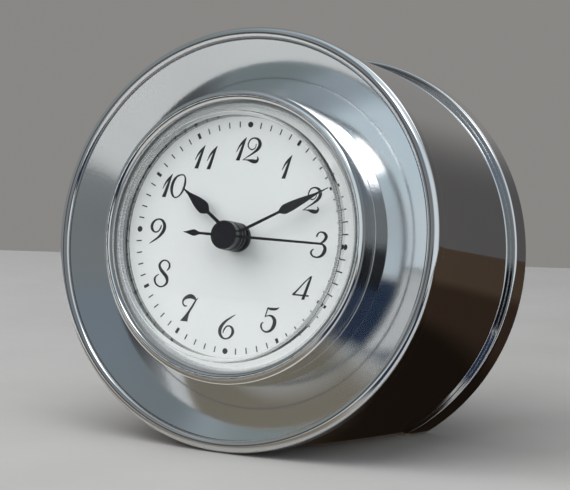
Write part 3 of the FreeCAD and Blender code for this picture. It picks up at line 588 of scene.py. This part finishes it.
def screw(x, y, turn):
    """Cheese-head screw with a driver slot, turned to its own angle."""
    outer = COVER_BACK + 0.05
    under_head = COVER_BACK + HEAD_HEIGHT
    profile = [
        (0, outer),
        (HEAD_RADIUS, outer),
        (HEAD_RADIUS, under_head),
        (SHANK_RADIUS, under_head),
        (SHANK_RADIUS, SCREW_TIP),
        (0, SCREW_TIP),
    ]
    head = lathe("screw", profile, 48, 0.12, (x, y))
    work = bmesh.new()
    bmesh.ops.create_cube(work, size=1)
    data = bpy.data.meshes.new("slot")
    work.to_mesh(data)
    work.free()
    along = Vector((math.cos(turn), math.sin(turn)))
    side = Vector((-along.y, along.x))
    for vertex in data.vertices:
        wide, tall, deep = vertex.co
        spot = Vector((x, y)) + along * wide * DRIVER_LENGTH + side * tall * DRIVER_WIDTH
        vertex.co = place(spot.x, spot.y, COVER_BACK + DRIVER_DEPTH + (deep - 0.5) * 2)
    face_outwards(data)
    return combined(head, data, "DIFFERENCE")


def cover_screws():
    """Four screws of the back cover, each turned as it happened to be driven home."""
    parts = [screw(x, y, turn) for (x, y), turn in zip(cover_screw_spots(), SCREW_TURNS)]
    data = joined("cover_screws", parts)
    return piece("cover_screws", data, "case", STEEL, ["back_cover_screws"])


# Sizes of the felt in metres.
FELT_ROWS, FELT_COLUMNS = 120, 90
FELT_LOW, FELT_TOP = 0.00003, 0.00078
FELT_ROUND, FELT_ROUND_DEPTH = 0.0007, 0.0003


def felt_height(x, y, inwards):
    """Height of the felt's lower face: rounded up at its edge, and uneven with its fibres."""
    rounding = FELT_ROUND_DEPTH * (1 - min(1, inwards / FELT_ROUND)) ** 2
    tufts = 0.00005 * (1 + noise.noise(Vector((x, y, 0)) * 900))
    fibres = 0.00002 * (1 + noise.noise(Vector((x, y, 1)) * 3000))
    return FELT_LOW + rounding + tufts + fibres


def felt_pad():
    """Matted felt under the base, with a soft uneven face and a rounded edge."""
    node = frame["nodes"]["felt_pad"]
    outline_points = sorted((v.co.y, abs(v.co.x)) for v in node.data.vertices if v.co.z < 0.0001)
    front, back = outline_points[0][0] + 0.0004, outline_points[-1][0] - 0.0003
    vertices, faces = [], []
    for row in range(FELT_ROWS + 1):
        y = front + (back - front) * row / FELT_ROWS
        half = half_width(outline_points, y) - 0.0002
        for column in range(FELT_COLUMNS + 1):
            x = half * (2 * column / FELT_COLUMNS - 1)
            inwards = min(half - abs(x), y - front, back - y)
            vertices.append(Vector((x, y, felt_height(x, y, inwards))))
    lower = len(vertices)
    vertices += [Vector((spot.x, spot.y, FELT_TOP)) for spot in vertices]
    wide = FELT_COLUMNS + 1
    for row in range(FELT_ROWS):
        for column in range(FELT_COLUMNS):
            a = row * wide + column
            square = (a, a + 1, a + wide + 1, a + wide)
            faces.append(square)
            faces.append(tuple(lower + corner for corner in reversed(square)))
    ring = list(range(wide))
    ring += [row * wide + FELT_COLUMNS for row in range(1, FELT_ROWS + 1)]
    ring += [FELT_ROWS * wide + column for column in range(FELT_COLUMNS - 1, -1, -1)]
    ring += [row * wide for row in range(FELT_ROWS - 1, 0, -1)]
    for index, first in enumerate(ring):
        after = ring[(index + 1) % len(ring)]
        faces.append((first, after, lower + after, lower + first))
    return piece("felt_sheet", mesh_of("felt_pad", vertices, faces), "case", FELT, ["felt_pad"], 70)


def half_width(outline_points, y):
    """Half the width of an outline at a distance along it, between its known points."""
    for (start, low), (end, high) in zip(outline_points, outline_points[1:]):
        if start <= y <= end and end > start:
            return low + (high - low) * (y - start) / (end - start)
    return outline_points[-1][1]


def insert_sleeve():
    """Tube with the raised collar that stands on the dished face."""
    profile = [
        (33.2, -1.9),
        (35.7, -1.9),
        (36.0, -2.2, -0.3),
        (36.0, -8.48),
        (SLEEVE, cone_level(SLEEVE) + FIT),
        (SLEEVE, -26.0),
        (33.2, -26.0),
    ]
    data = lathe("insert_sleeve", profile, 320, 0.08)
    return piece("sleeve_collar", data, "case", BEZEL, ["insert_sleeve"])


# ---------------------------------------------------------------- clock insert


def bezel():
    """Polished ring with a round crest that holds the window."""
    profile = [
        (36.0, -1.85),
        (36.0, 3.9),
        (34.7, 5.3, -1.4),
        (33.5, 4.2, -1.3),
        (33.5, 3.35),
        (34.7, 3.35),
        (34.7, -1.85),
    ]
    data = lathe("bezel", profile, 384, 0.1)
    return piece("bezel_ring", data, "insert", BEZEL, ["bezel"])


def crown_radius(reach, rise):
    """Radius of the arc that rises from an edge at a reach to the axis."""
    return (reach * reach + rise * rise) / (2 * rise)


def crystal():
    """Clear window: a seat under the bezel's lip, a bevel, a rounded step and a crown, hollow behind."""
    profile = [
        (0, 8.2),
        (0, 9.4),
        (30.0, 6.2, -crown_radius(30.0, 3.2)),
        (30.8, 5.4, -0.8),
        (30.9, 4.2),
        (32.6, 3.3),
        (34.55, 3.3),
        (34.55, 2.1),
        (29.6, 2.1),
        (29.6, 5.0),
        (0, 8.2, crown_radius(29.6, 3.2)),
    ]
    data = lathe("crystal", profile, 384, 0.0)
    return piece("window", data, "insert", CRYSTAL, ["crystal"])


RIDGES = 300


def reflector_ring():
    """Sloped ring between the dial and the window, moulded with fine ridges that point at the centre."""
    across = [(31.2, 0.03), (31.25, 0.3), (31.4, 0.45), (31.9, 0.95)]
    across += [(32.4, 1.42), (32.9, 1.9), (33.05, 2.02)]
    rest = [(34.15, 2.05), (34.2, 2.0), (34.2, 0.08), (34.15, 0.03)]
    ridged = {2, 3, 4, 5}
    heights = (0.0, 0.17, 0.2, 0.03)
    steps = RIDGES * len(heights)
    vertices, rings = [], []
    for index, (radius, level) in enumerate(across + rest):
        rings.append(range(len(vertices), len(vertices) + steps))
        for step in range(steps):
            rise = heights[step % len(heights)] if index in ridged else 0
            x, y = polar(radius - rise * 0.7, 360 * step / steps)
            vertices.append(place(x, y, level + rise * 0.7))
    faces = []
    for index, ring in enumerate(rings):
        faces += band(rings[index - 1], ring, steps)
    data = mesh_of("reflector_ring", vertices, faces)
    return piece("ridged_ring", data, "insert", RING, ["reflector_ring"], 28)


def dial():
    """White disc with a hole for the hand bush."""
    profile = [(3.25, -0.5), (34.2, -0.5), (34.2, 0), (3.25, 0)]
    data = lathe("dial", profile, 256, 0.06)
    return piece("dial_disc", data, "insert", PAINT, ["dial"])


# ---------------------------------------------------------------- printing

INK_DEPTH = 0.03


def smooth_through(points, steps=7):
    """Points of a smooth line through stations of (x, y, width)."""
    stations = [Vector(point) for point in points]
    stations = [stations[0] * 2 - stations[1]] + stations + [stations[-1] * 2 - stations[-2]]
    line = []
    for a, b, c, d in zip(stations, stations[1:], stations[2:], stations[3:]):
        for step in range(steps):
            t = step / steps
            square = (2 * a - 5 * b + 4 * c - d) * t**2
            cube = (3 * b - a - 3 * c + d) * t**3
            line.append(0.5 * (2 * b + (c - a) * t + square + cube))
    return line + [stations[-2]]


def stroke_edges(points, level_ends):
    """Left and right edge of a stroke. A stem's width is measured level, so that its ends are flat."""
    line = smooth_through(points)
    left, right = [], []
    for index, spot in enumerate(line):
        ahead = line[min(index + 1, len(line) - 1)]
        behind = line[max(index - 1, 0)]
        along = Vector((ahead.x - behind.x, ahead.y - behind.y)).normalized()
        side = Vector((1, 0)) if level_ends else Vector((-along.y, along.x))
        half = max(spot.z, 0.05) / 2
        left.append((spot.x - side.x * half, spot.y - side.y * half))
        right.append((spot.x + side.x * half, spot.y + side.y * half))
    return left, right


def stroke(points, centre, level_ends=False, lift=0.0):
    """Raised ribbon of ink along a stroke of a figure."""
    left, right = stroke_edges(points, level_ends)
    top = INK_DEPTH + lift
    vertices = []
    for x, y in left:
        vertices.append(place(x + centre[0], y + centre[1], 0.0))
        vertices.append(place(x + centre[0], y + centre[1], top))
    start = len(vertices)
    for x, y in right:
        vertices.append(place(x + centre[0], y + centre[1], 0.0))
        vertices.append(place(x + centre[0], y + centre[1], top))
    faces = []
    last = len(left) - 1
    for index in range(last):
        a, b = 2 * index, start + 2 * index
        faces.append((a + 1, a + 3, b + 3, b + 1))
        faces.append((a, b, b + 2, a + 2))
        faces.append((a, a + 2, a + 3, a + 1))
        faces.append((b, b + 1, b + 3, b + 2))
    a, b = 2 * last, start + 2 * last
    faces.append((0, 1, start + 1, start))
    faces.append((a, b, b + 1, a + 1))
    return mesh_of("stroke", vertices, faces)


SIX = [
    (2.05, 3.2, 0.12), (0.9, 2.4, 0.38), (-0.5, 1.3, 0.6), (-1.55, -0.1, 0.88), (-1.8, -1.4, 0.9),
    (-1.2, -2.6, 0.65), (-0.1, -3.05, 0.4), (1.1, -2.6, 0.5), (1.8, -1.5, 0.78), (1.6, -0.4, 0.68),
    (0.8, 0.2, 0.4), (-0.1, 0.0, 0.35), (-0.7, -0.9, 0.38), (-0.85, -1.7, 0.22),
]

# Each figure is a list of strokes: stations of (x, y, width) in millimetres, and whether its ends are level.
FIGURES = {
    "1": [
        ([(1.2, 2.95, 0.12), (0.55, 1.2, 0.62), (-0.1, -1.2, 0.85), (-0.65, -3.0, 1.05)], True),
        ([(1.15, 2.9, 0.1), (0.2, 1.6, 0.55), (-0.55, 0.5, 0.42), (-1.2, -0.95, 0.15)], False),
    ],
    "2": [
        (
            [
                (0.95, 1.6, 0.18), (0.8, 0.6, 0.25), (-0.1, 0.05, 0.3), (-1.05, 0.55, 0.32),
                (-1.25, 1.5, 0.35), (-0.7, 2.6, 0.35), (0.4, 3.0, 0.4), (1.5, 2.6, 0.7),
                (2.0, 1.5, 0.95), (1.55, 0.3, 0.8), (0.4, -0.75, 0.5), (-1.0, -1.75, 0.3),
                (-2.4, -2.7, 0.12),
            ],
            False,
        ),
        (
            [
                (-2.35, -2.65, 0.12), (-1.0, -2.6, 0.35), (0.4, -2.8, 0.95), (1.4, -2.8, 0.85),
                (1.85, -2.2, 0.5), (1.55, -1.6, 0.2),
            ],
            False,
        ),
    ],
    "3": [
        (
            [
                (-1.0, 1.8, 0.3), (-1.0, 2.2, 0.45), (-0.6, 2.85, 0.35), (0.1, 3.1, 0.35),
                (1.0, 2.85, 0.65), (1.55, 2.1, 0.85), (1.2, 1.2, 0.7), (0.5, 0.6, 0.45),
                (-0.05, 0.35, 0.25),
            ],
            False,
        ),
        (
            [
                (-0.05, 0.35, 0.25), (0.8, 0.15, 0.45), (1.5, -0.6, 0.85), (1.45, -1.6, 0.95),
                (0.75, -2.6, 0.7), (-0.4, -3.05, 0.38), (-1.6, -2.8, 0.42), (-2.15, -2.1, 0.5),
                (-1.95, -1.5, 0.38), (-1.55, -1.15, 0.25),
            ],
            False,
        ),
    ],
    "4": [
        ([(2.2, 2.85, 0.3), (0.6, 1.3, 0.32), (-1.0, -0.6, 0.4), (-2.1, -1.8, 0.55)], False),
        ([(-2.4, -1.9, 0.4), (2.1, -1.95, 0.38)], False),
        ([(2.3, 2.9, 0.35), (1.7, 1.0, 0.7), (1.1, -1.2, 0.78), (0.6, -2.95, 0.8)], True),
    ],
    "5": [
        (
            [
                (-0.75, 2.9, 0.3), (-0.1, 2.7, 0.6), (1.1, 2.7, 0.65), (1.9, 2.9, 0.45),
                (2.35, 3.25, 0.12),
            ],
            False,
        ),
        ([(-0.7, 2.95, 0.35), (-0.95, 1.7, 0.3), (-1.2, 0.6, 0.3)], False),
        (
            [
                (-1.15, 0.65, 0.15), (-0.4, 1.0, 0.3), (0.7, 0.9, 0.6), (1.5, 0.0, 0.95),
                (1.5, -1.3, 1.0), (0.8, -2.5, 0.7), (-0.3, -3.0, 0.45), (-1.4, -2.7, 0.4),
                (-2.0, -1.8, 0.5), (-1.9, -1.1, 0.4), (-1.5, -0.75, 0.22),
            ],
            False,
        ),
    ],
    "6": [(SIX, False)],
    "7": [
        (
            [
                (-0.6, 0.6, 0.2), (-1.2, 0.5, 0.35), (-1.8, 1.0, 0.4), (-1.85, 1.8, 0.5),
                (-1.2, 2.55, 0.8), (0.1, 3.0, 1.1), (1.2, 2.65, 0.8), (1.6, 2.2, 0.3),
            ],
            False,
        ),
        (
            [
                (2.25, 2.8, 0.1), (1.65, 2.1, 0.45), (0.9, 0.6, 0.6), (0.0, -1.0, 0.75),
                (-0.6, -2.2, 1.3), (-1.1, -3.35, 2.1),
            ],
            True,
        ),
    ],
    "8": [
        (
            [
                (1.25, 0.7, 0.2), (1.85, 1.5, 0.5), (1.75, 2.5, 0.45), (0.9, 3.15, 0.35),
                (-0.2, 3.05, 0.42), (-0.95, 2.1, 0.62), (-0.6, 1.0, 0.78), (0.45, 0.0, 0.88),
                (1.45, -1.0, 0.88), (1.65, -2.2, 0.65), (0.9, -3.1, 0.42), (-0.3, -3.4, 0.38),
                (-1.5, -2.8, 0.48), (-1.95, -1.7, 0.58), (-1.6, -0.9, 0.38), (-0.85, -0.35, 0.18),
            ],
            False,
        ),
    ],
    "9": [([(-x, -y, width) for x, y, width in SIX], False)],
    "0": [
        (
            [
                (1.35, 2.7, 0.34), (0.7, 2.9, 0.33), (-0.6, 2.4, 0.48), (-1.5, 1.1, 0.72),
                (-1.85, -0.6, 0.8), (-1.5, -2.1, 0.6), (-0.7, -2.85, 0.35), (0.4, -2.45, 0.36),
                (1.3, -1.2, 0.5), (1.75, 0.4, 0.6), (1.75, 1.9, 0.45), (1.35, 2.7, 0.34),
                (0.7, 2.9, 0.33),
            ],
            False,
        ),
    ],
}

FIGURE_SPOTS = [
    ("1", -1.9, 21.8),
    ("2", 1.2, 21.7),
    ("1", 11.2, 18.2),
    ("2", 19.2, 10.7),
    ("3", 22.5, 0.0),
    ("4", 19.0, -10.6),
    ("5", 11.1, -19.2),
    ("6", -0.3, -21.9),
    ("7", -11.4, -18.4),
    ("8", -20.1, -10.4),
    ("9", -22.7, -0.2),
    ("1", -21.5, 11.4),
    ("0", -18.3, 11.4),
    ("1", -13.2, 19.1),
    ("1", -9.8, 19.1),
]


def dial_figures():
    """The hour figures, printed as raised ribbons of ink."""
    strokes = []
    for figure, x, y in FIGURE_SPOTS:
        for number, (points, level_ends) in enumerate(FIGURES[figure]):
            strokes.append(stroke(points, (x, y), level_ends, 0.004 * number))
    return piece("dial_figures", joined("dial_figures", strokes), "insert", INK)


MARK_CIRCLE = 28.0
DOT_RADIUS = 0.725
BAR_HALF_LENGTH = 0.75
HOUR_BAR, MINUTE_BAR = 0.75, 0.3


def minute_dot(degrees):
    """Round dot of the minute track."""
    profile = [(0, 0), (DOT_RADIUS, 0), (DOT_RADIUS, INK_DEPTH), (0, INK_DEPTH)]
    return lathe("dot", profile, 40, 0.01, polar(MARK_CIRCLE, degrees))


def minute_bar(degrees, wide):
    """Radial bar of the minute track."""
    inner = Vector(polar(MARK_CIRCLE - BAR_HALF_LENGTH, degrees))
    outer = Vector(polar(MARK_CIRCLE + BAR_HALF_LENGTH, degrees))
    return stroke([(*inner, wide), (*outer, wide)], (0, 0))


def dial_marks():
    """Minute track: a dot at each quarter and bars between them."""
    marks = []
    for minute in range(60):
        if minute % 15 == 0:
            marks.append(minute_dot(6 * minute))
        else:
            marks.append(minute_bar(6 * minute, HOUR_BAR if minute % 5 == 0 else MINUTE_BAR))
    return piece("dial_marks", joined("dial_marks", marks), "insert", INK)


# ---------------------------------------------------------------- hands


def blade(stations, degrees, low, thick, edge=0.07):
    """Flat hand blade with bevelled edges, along stations of (distance, half width)."""
    sections = []
    turn = math.radians(degrees)
    along = Vector((math.sin(turn), math.cos(turn)))
    side = Vector((math.cos(turn), -math.sin(turn)))
    vertices = []
    for distance, half in stations:
        bevel = min(edge, half * 0.6)
        loop = []
        for across, level in (
            (-half, low),
            (-half, low + thick - bevel),
            (-half + bevel, low + thick),
            (half - bevel, low + thick),
            (half, low + thick - bevel),
            (half, low),
        ):
            spot = along * distance + side * across
            loop.append(len(vertices))
            vertices.append(place(spot.x, spot.y, level))
        sections.append(loop)
    faces = []
    for first, second in zip(sections, sections[1:]):
        for index in range(6):
            after = (index + 1) % 6
            faces.append((first[index], first[after], second[after], second[index]))
    faces.append(sections[0])
    faces.append(sections[-1])
    return mesh_of("blade", vertices, faces)


def pear(reach, start, widest, half_width, neck):
    """Stations of a hand with a slim stem, a pear-shaped body and a needle tip."""
    stations = [(0.5, neck), (start - 0.6, neck * 0.8), (start, neck * 0.9)]
    rise = [(0.25, 0.35), (0.5, 0.66), (0.75, 0.9), (1.0, 1.0)]
    stations += [(start + (widest - start) * t, neck + (half_width - neck) * w) for t, w in rise]
    fall = [(0.12, 0.98), (0.25, 0.88), (0.4, 0.7), (0.55, 0.47), (0.7, 0.26), (0.85, 0.15), (1.0, 0.06)]
    stations += [(widest + (reach - widest) * t, half_width * w) for t, w in fall]
    return stations


def hub(low, thick, radius=3.6, bore=1.4):
    """Round boss of a hand with softened edges."""
    high = low + thick
    return lathe("hub", [(bore, low), (radius, low), (radius, high), (bore, high)], 96, 0.14)


HOUR_DEGREES, MINUTE_DEGREES, SECOND_DEGREES = 305.125, 61.5, 90
HOUR_LEVEL, MINUTE_LEVEL, SECOND_LEVEL = 2.4, 3.9, 5.3
HAND_THICKNESS = 0.3
SECOND_THICKNESS = 0.25


def hour_hand():
    """Short pear-shaped hand and its boss."""
    arm = blade(pear(19.0, 9.5, 11.2, 1.6, 0.5), HOUR_DEGREES, HOUR_LEVEL, HAND_THICKNESS)
    data = joined("hour_hand", [arm, hub(HOUR_LEVEL, 0.9, bore=1.95)])
    return piece("hour_hand_black", data, "hour_train", HANDS, ["hour_hand"])


def minute_hand():
    """Long pear-shaped hand and its boss."""
    arm = blade(pear(28.4, 14.3, 15.9, 1.2, 0.4), MINUTE_DEGREES, MINUTE_LEVEL, HAND_THICKNESS)
    data = joined("minute_hand", [arm, hub(MINUTE_LEVEL, 0.9)])
    return piece("minute_hand_black", data, "minute_train", HANDS, ["minute_hand"])


def second_hand():
    """Straight thin hand with a lozenge on its tail."""
    tail = [(0.5, 0.36), (7.7, 0.32), (8.1, 0.38), (8.5, 0.55), (8.9, 0.72), (9.3, 0.8)]
    tail += [(9.7, 0.76), (10.2, 0.62), (10.7, 0.46), (11.2, 0.3), (11.7, 0.17), (12.2, 0.08)]
    parts = [
        blade([(0.5, 0.36), (25.8, 0.27)], SECOND_DEGREES, SECOND_LEVEL, SECOND_THICKNESS, 0.06),
        blade(tail, SECOND_DEGREES + 180, SECOND_LEVEL, SECOND_THICKNESS, 0.06),
        hub(SECOND_LEVEL, 0.4, bore=0.6),
    ]
    data = joined("second_hand", parts)
    return piece("second_hand_black", data, "seconds_train", HANDS, ["second_hand"])


def hand_cap():
    """Flat round button over the hands' hubs."""
    profile = [(0, 5.72), (3.4, 5.72), (3.5, 5.82), (3.5, 7.5), (3.25, 7.75, -0.25), (0, 7.82)]
    data = lathe("hand_cap", profile, 128, 0.0)
    return piece("hub_cap", data, "seconds_train", HANDS, ["hand_cap"])


def hand_bush():
    """Collar on the dial around the hands' tubes, and the barrel that runs through the dial."""
    bore, barrel, collar = 1.98, 3.2, 3.6
    profile = [
        (bore, 1.2),
        (collar - 0.15, 1.2),
        (collar, 1.05, -0.15),
        (collar, 0.03),
        (barrel, 0.03),
        (barrel, -3.6),
        (bore, -3.6),
    ]
    data = lathe("hand_bush", profile, 96, 0.06)
    return piece("bush_collar", data, "insert", COLLAR, ["hand_bush"])


# ---------------------------------------------------------------- CAD pieces shown as they are


def shade_node_pieces():
    """Materials of the CAD nodes that are shown as they are."""
    kinds = {
        STEEL: ("base_plate", "movement_screws", "stator", "quartz_can", "battery", "seconds_wheel"),
        BLACK: ("insert_cup", "battery_cover", "setting_knob", "movement_housing"),
        GREY: ("movement_plate", "movement_bridge"),
        ACETAL: (
            "hour_wheel",
            "cannon_pinion",
            "motion_wheel",
            "centre_wheel",
            "third_wheel",
            "intermediate_wheel",
            "coil_bobbin",
        ),
        RUBBER: ("friction_ring",),
        BRASS: ("battery_contact_minus", "battery_contact_plus"),
        WIRE: ("coil_winding",),
        MAGNET: ("rotor",),
        BOARD: ("circuit_board",),
        RESIN: ("chip_cap",),
    }
    for material, names in kinds.items():
        for name in names:
            slots = frame["nodes"][name].data.materials
            slots.clear()
            slots.append(material)


# ---------------------------------------------------------------- studio


def camera():
    """Long lens to the right of the clock and a little above its middle."""
    lens = bpy.data.cameras.new("camera")
    lens.lens = 151.58
    lens.sensor_width = 36
    lens.clip_start = 0.01
    obj = bpy.data.objects.new("camera", lens)
    obj.location = DIAL_CENTRE + Vector((0.28034, -0.51194, 0.061))
    obj.rotation_euler = (math.radians(83.894), math.radians(-1.937), math.radians(27.799))
    bpy.context.scene.collection.objects.link(obj)
    bpy.context.scene.camera = obj


def staged(name, data, material):
    """An object of the studio, which isn't part of the clock."""
    data.materials.append(material)
    obj = bpy.data.objects.new(name, data)
    bpy.context.scene.collection.objects.link(obj)
    return obj


VIEW_TURN = math.radians(28.7)


def floor():
    """Pale table top, whose far edge lies across the camera's view."""
    near, far, half = -2.2, 0.4, 2.2
    ahead = Vector((-math.sin(VIEW_TURN), math.cos(VIEW_TURN), 0))
    side = Vector((math.cos(VIEW_TURN), math.sin(VIEW_TURN), 0))
    ends = ((near, -half), (near, half), (far, half), (far, -half))
    data = bpy.data.meshes.new("floor")
    data.from_pydata([ahead * depth + side * wide for depth, wide in ends], [], [(0, 1, 2, 3)])
    shade = Shade("pale_floor")
    grain = shade.noise(9, 4)
    shade.surface(
        Base_Color=shade.blended(shade.ranged(grain, 0, 1), (0.27, 0.265, 0.258), (0.30, 0.295, 0.288)),
        Roughness=shade.ranged(shade.noise(30, 3), 0.55, 0.7),
    )
    staged("floor", data, shade.material)


WHITE = (1.0, 1.0, 1.0)

# Share of the way from a standing card's edge to its middle over which it fades out.
STANDING_RIM = 0.4


def glowing(name, colour, strength):
    """Light of a studio card. It fades into clear air where the card's "fade" attribute falls to 0."""
    material = bpy.data.materials.new(name)
    material.use_nodes = True
    tree = material.node_tree
    tree.nodes.clear()
    output = tree.nodes.new("ShaderNodeOutputMaterial")
    light = tree.nodes.new("ShaderNodeEmission")
    light.inputs["Color"].default_value = (*colour, 1)
    light.inputs["Strength"].default_value = strength
    fade = tree.nodes.new("ShaderNodeAttribute")
    fade.attribute_name = "fade"
    smooth = tree.nodes.new("ShaderNodeMapRange")
    smooth.interpolation_type = "SMOOTHSTEP"
    mix = tree.nodes.new("ShaderNodeMixShader")
    tree.links.new(fade.outputs["Fac"], smooth.inputs["Value"])
    tree.links.new(smooth.outputs["Result"], mix.inputs[0])
    tree.links.new(tree.nodes.new("ShaderNodeBsdfTransparent").outputs[0], mix.inputs[1])
    tree.links.new(light.outputs[0], mix.inputs[2])
    tree.links.new(mix.outputs[0], output.inputs["Surface"])
    return material


def soft_card(name, corners, colour, strength, rim):
    """Glowing card that fades out over its rim and is only seen mirrored in the metal."""
    outer = [Vector(corner) for corner in corners]
    middle = sum(outer, Vector()) / 4
    inner = [corner.lerp(middle, rim) for corner in outer]
    sides = [(i, (i + 1) % 4, (i + 1) % 4 + 4, i + 4) for i in range(4)]
    mesh = bpy.data.meshes.new(name)
    mesh.from_pydata([*outer, *inner], [], [(4, 5, 6, 7), *sides])
    mesh.attributes.new("fade", "FLOAT", "POINT").data.foreach_set("value", [0.0] * 4 + [1.0] * 4)
    obj = staged(name, mesh, glowing(name, colour, strength))
    obj.visible_camera = False
    obj.visible_diffuse = False
    obj.visible_transmission = False
    obj.visible_volume_scatter = False
    obj.visible_shadow = False
    return obj


def mirrored_by(receiver, obj):
    """The card's light is mirrored by the receiver only, and the other pieces look through it."""
    tree = obj.data.materials[0].node_tree
    mix = next(node for node in tree.nodes if node.type == "MIX_SHADER")
    light = next(node for node in tree.nodes if node.type == "EMISSION")
    both = tree.nodes.new("ShaderNodeAddShader")
    tree.links.new(light.outputs[0], both.inputs[0])
    tree.links.new(tree.nodes.new("ShaderNodeBsdfTransparent").outputs[0], both.inputs[1])
    tree.links.new(both.outputs[0], mix.inputs[2])
    group = bpy.data.collections.new(obj.name + "_receivers")
    group.objects.link(receiver)
    obj.light_linking.receiver_collection = group


def floor_card(name, corners, colour, rim, level=0.0004):
    """Four-cornered card that lies on the table."""
    return soft_card(name, [(x, y, level) for x, y in corners], colour, 1.0, rim)


def direction(azimuth, height):
    """Unit vector from the clock. The azimuth is 0 in front of it and grows to its right."""
    turn, rise = math.radians(azimuth), math.radians(height)
    return Vector((math.sin(turn) * math.cos(rise), -math.cos(turn) * math.cos(rise), math.sin(rise)))


def standing_card(name, azimuth, height, distance, wide, tall, colour, strength):
    """Card that faces the clock from afar."""
    away = direction(azimuth, height)
    side = Vector((0, 0, 1)).cross(away).normalized()
    rise = away.cross(side)
    middle = Vector((0, -0.03, 0.05)) + away * distance
    side *= wide / 2
    rise *= tall / 2
    corners = [middle - side - rise, middle + side - rise, middle + side + rise, middle - side + rise]
    return soft_card(name, corners, colour, strength, STANDING_RIM)


def lamp(name, azimuth, height, distance, size, power):
    """Soft square light that faces the clock and isn't mirrored in it."""
    away = direction(azimuth, height)
    light = bpy.data.lights.new(name, "AREA")
    light.shape = "SQUARE"
    light.size = size
    light.energy = power
    obj = bpy.data.objects.new(name, light)
    obj.location = Vector((0, -0.02, 0.05)) + away * distance
    obj.rotation_euler = away.to_track_quat("Z", "Y").to_euler()
    obj.visible_glossy = False
    obj.visible_transmission = False
    bpy.context.scene.collection.objects.link(obj)


AIR_BASE = (0.22, 0.23, 0.235)
# Soft patches of the studio's air: azimuth, height, inner and outer reach in degrees, and colour.
AIR = [
    (180, 0, 20, 80, (0.250, 0.245, 0.235)),
    (158, 2, 8, 30, (0.088, 0.084, 0.084)),
    (80, 10, 20, 62, (0.64, 0.70, 0.73)),
    (60, 72, 20, 50, (0.60, 0.69, 0.74)),
    (-50, 58, 12, 32, (0.34, 0.39, 0.43)),
    (16, 20, 10, 34, (0.175, 0.187, 0.19)),
    (11, 43, 6, 24, (0.16, 0.19, 0.22)),
    (-14, 54, 4, 20, (0.16, 0.185, 0.20)),
    (-62, 35, 10, 30, (0.20, 0.235, 0.24)),
    (-31, 14, 4, 18, (0.07, 0.07, 0.072)),
]


def surroundings():
    """Studio air made of soft patches of grey and pale blue."""
    world = bpy.data.worlds.new("studio")
    bpy.context.scene.world = world
    world.use_nodes = True
    tree = world.node_tree
    background = tree.nodes["Background"]
    aim = tree.nodes.new("ShaderNodeTexCoord").outputs["Generated"]
    colour = None
    for azimuth, height, inner, outer, shade in AIR:
        product = tree.nodes.new("ShaderNodeVectorMath")
        product.operation = "DOT_PRODUCT"
        product.inputs[1].default_value = direction(azimuth, height)
        tree.links.new(aim, product.inputs[0])
        edge = tree.nodes.new("ShaderNodeMapRange")
        edge.interpolation_type = "SMOOTHSTEP"
        edge.inputs["From Min"].default_value = math.cos(math.radians(outer))
        edge.inputs["From Max"].default_value = math.cos(math.radians(inner))
        tree.links.new(product.outputs["Value"], edge.inputs["Value"])
        mix = tree.nodes.new("ShaderNodeMix")
        mix.data_type = "RGBA"
        tree.links.new(edge.outputs["Result"], mix.inputs["Factor"])
        if colour is None:
            mix.inputs["A"].default_value = (*AIR_BASE, 1)
        else:
            tree.links.new(colour, mix.inputs["A"])
        mix.inputs["B"].default_value = (*shade, 1)
        colour = mix.outputs["Result"]
    tree.links.new(colour, background.inputs["Color"])


def table_corners(left, right, front, back):
    """Corners of a patch of the table."""
    return ((left, front), (right, front), (right, back), (left, back))


def studio(collar):
    """Camera, table, lamps and cards. One card is mirrored by the insert's collar only, as a painted
    highlight on it, and some table cards are painted shade seen only mirrored in the metal.
    """
    camera()
    floor()
    surroundings()
    lamp("overhead", -20, 75, 1.1, 1.2, 15)
    lamp("front_left", -45, 35, 1.1, 1.0, 11.5)
    lamp("front_right", 45, 30, 1.2, 1.0, 6)
    standing_card("white_box", 36, 56, 1.0, 0.50, 0.36, WHITE, 3.0)
    # Painted highlight: a white card that only the collar mirrors, and that lights nothing.
    mirrored_by(collar, standing_card("collar_highlight_card", 0, 50, 1.0, 1.0, 0.40, WHITE, 3.4))
    standing_card("back_box", 158, 44, 1.0, 0.55, 0.65, WHITE, 1.5)
    standing_card("dark_flag", 29, 4, 0.66, 0.18, 0.26, (0.006, 0.006, 0.008), 1.0)
    brown = table_corners(-0.04, 0.85, -0.025, 0.70)
    shaded_table_patch = table_corners(-0.08, 0.30, -0.03, 0.20)
    dark = table_corners(-0.06, 0.14, -0.03, 0.08)
    tan = table_corners(-0.17, 0.06, -0.11, -0.026)
    blue = ((0.028, -0.085), (0.044, -0.028), (0.80, -0.50), (0.40, -0.90))
    floor_card("brown_card", brown, (0.058, 0.040, 0.027), 0.1)
    # Painted shade: a darker brown card, seen only mirrored in the metal, makes the table darken in shade
    # towards the clock.
    floor_card("brown_shade", shaded_table_patch, (0.028, 0.018, 0.012), 0.5, 0.0006)
    # Painted shadow: a near-black card, seen only mirrored in the metal, stands for the clock's contact
    # shadow on the table.
    floor_card("contact_shadow_card", dark, (0.009, 0.006, 0.004), 0.6, 0.0008)
    # Painted shade: a tan card, seen only mirrored in the metal, stands for the table in front of the clock
    # lying in the clock's own shadow.
    floor_card("front_shade_card", tan, (0.20, 0.178, 0.14), 0.3)
    floor_card("blue_card", blue, (0.020, 0.034, 0.066), 0.06, 0.0006)
    bpy.context.scene.view_settings.view_transform = "Standard"


front_dish()
drum_shell()
rear_flange()
back_cover()
cover_screws()
sleeve_collar = insert_sleeve()
felt_pad()
bezel()
crystal()
reflector_ring()
dial()
dial_figures()
dial_marks()
hour_hand()
minute_hand()
second_hand()
hand_cap()
hand_bush()
shade_node_pieces()
studio(sleeve_collar)
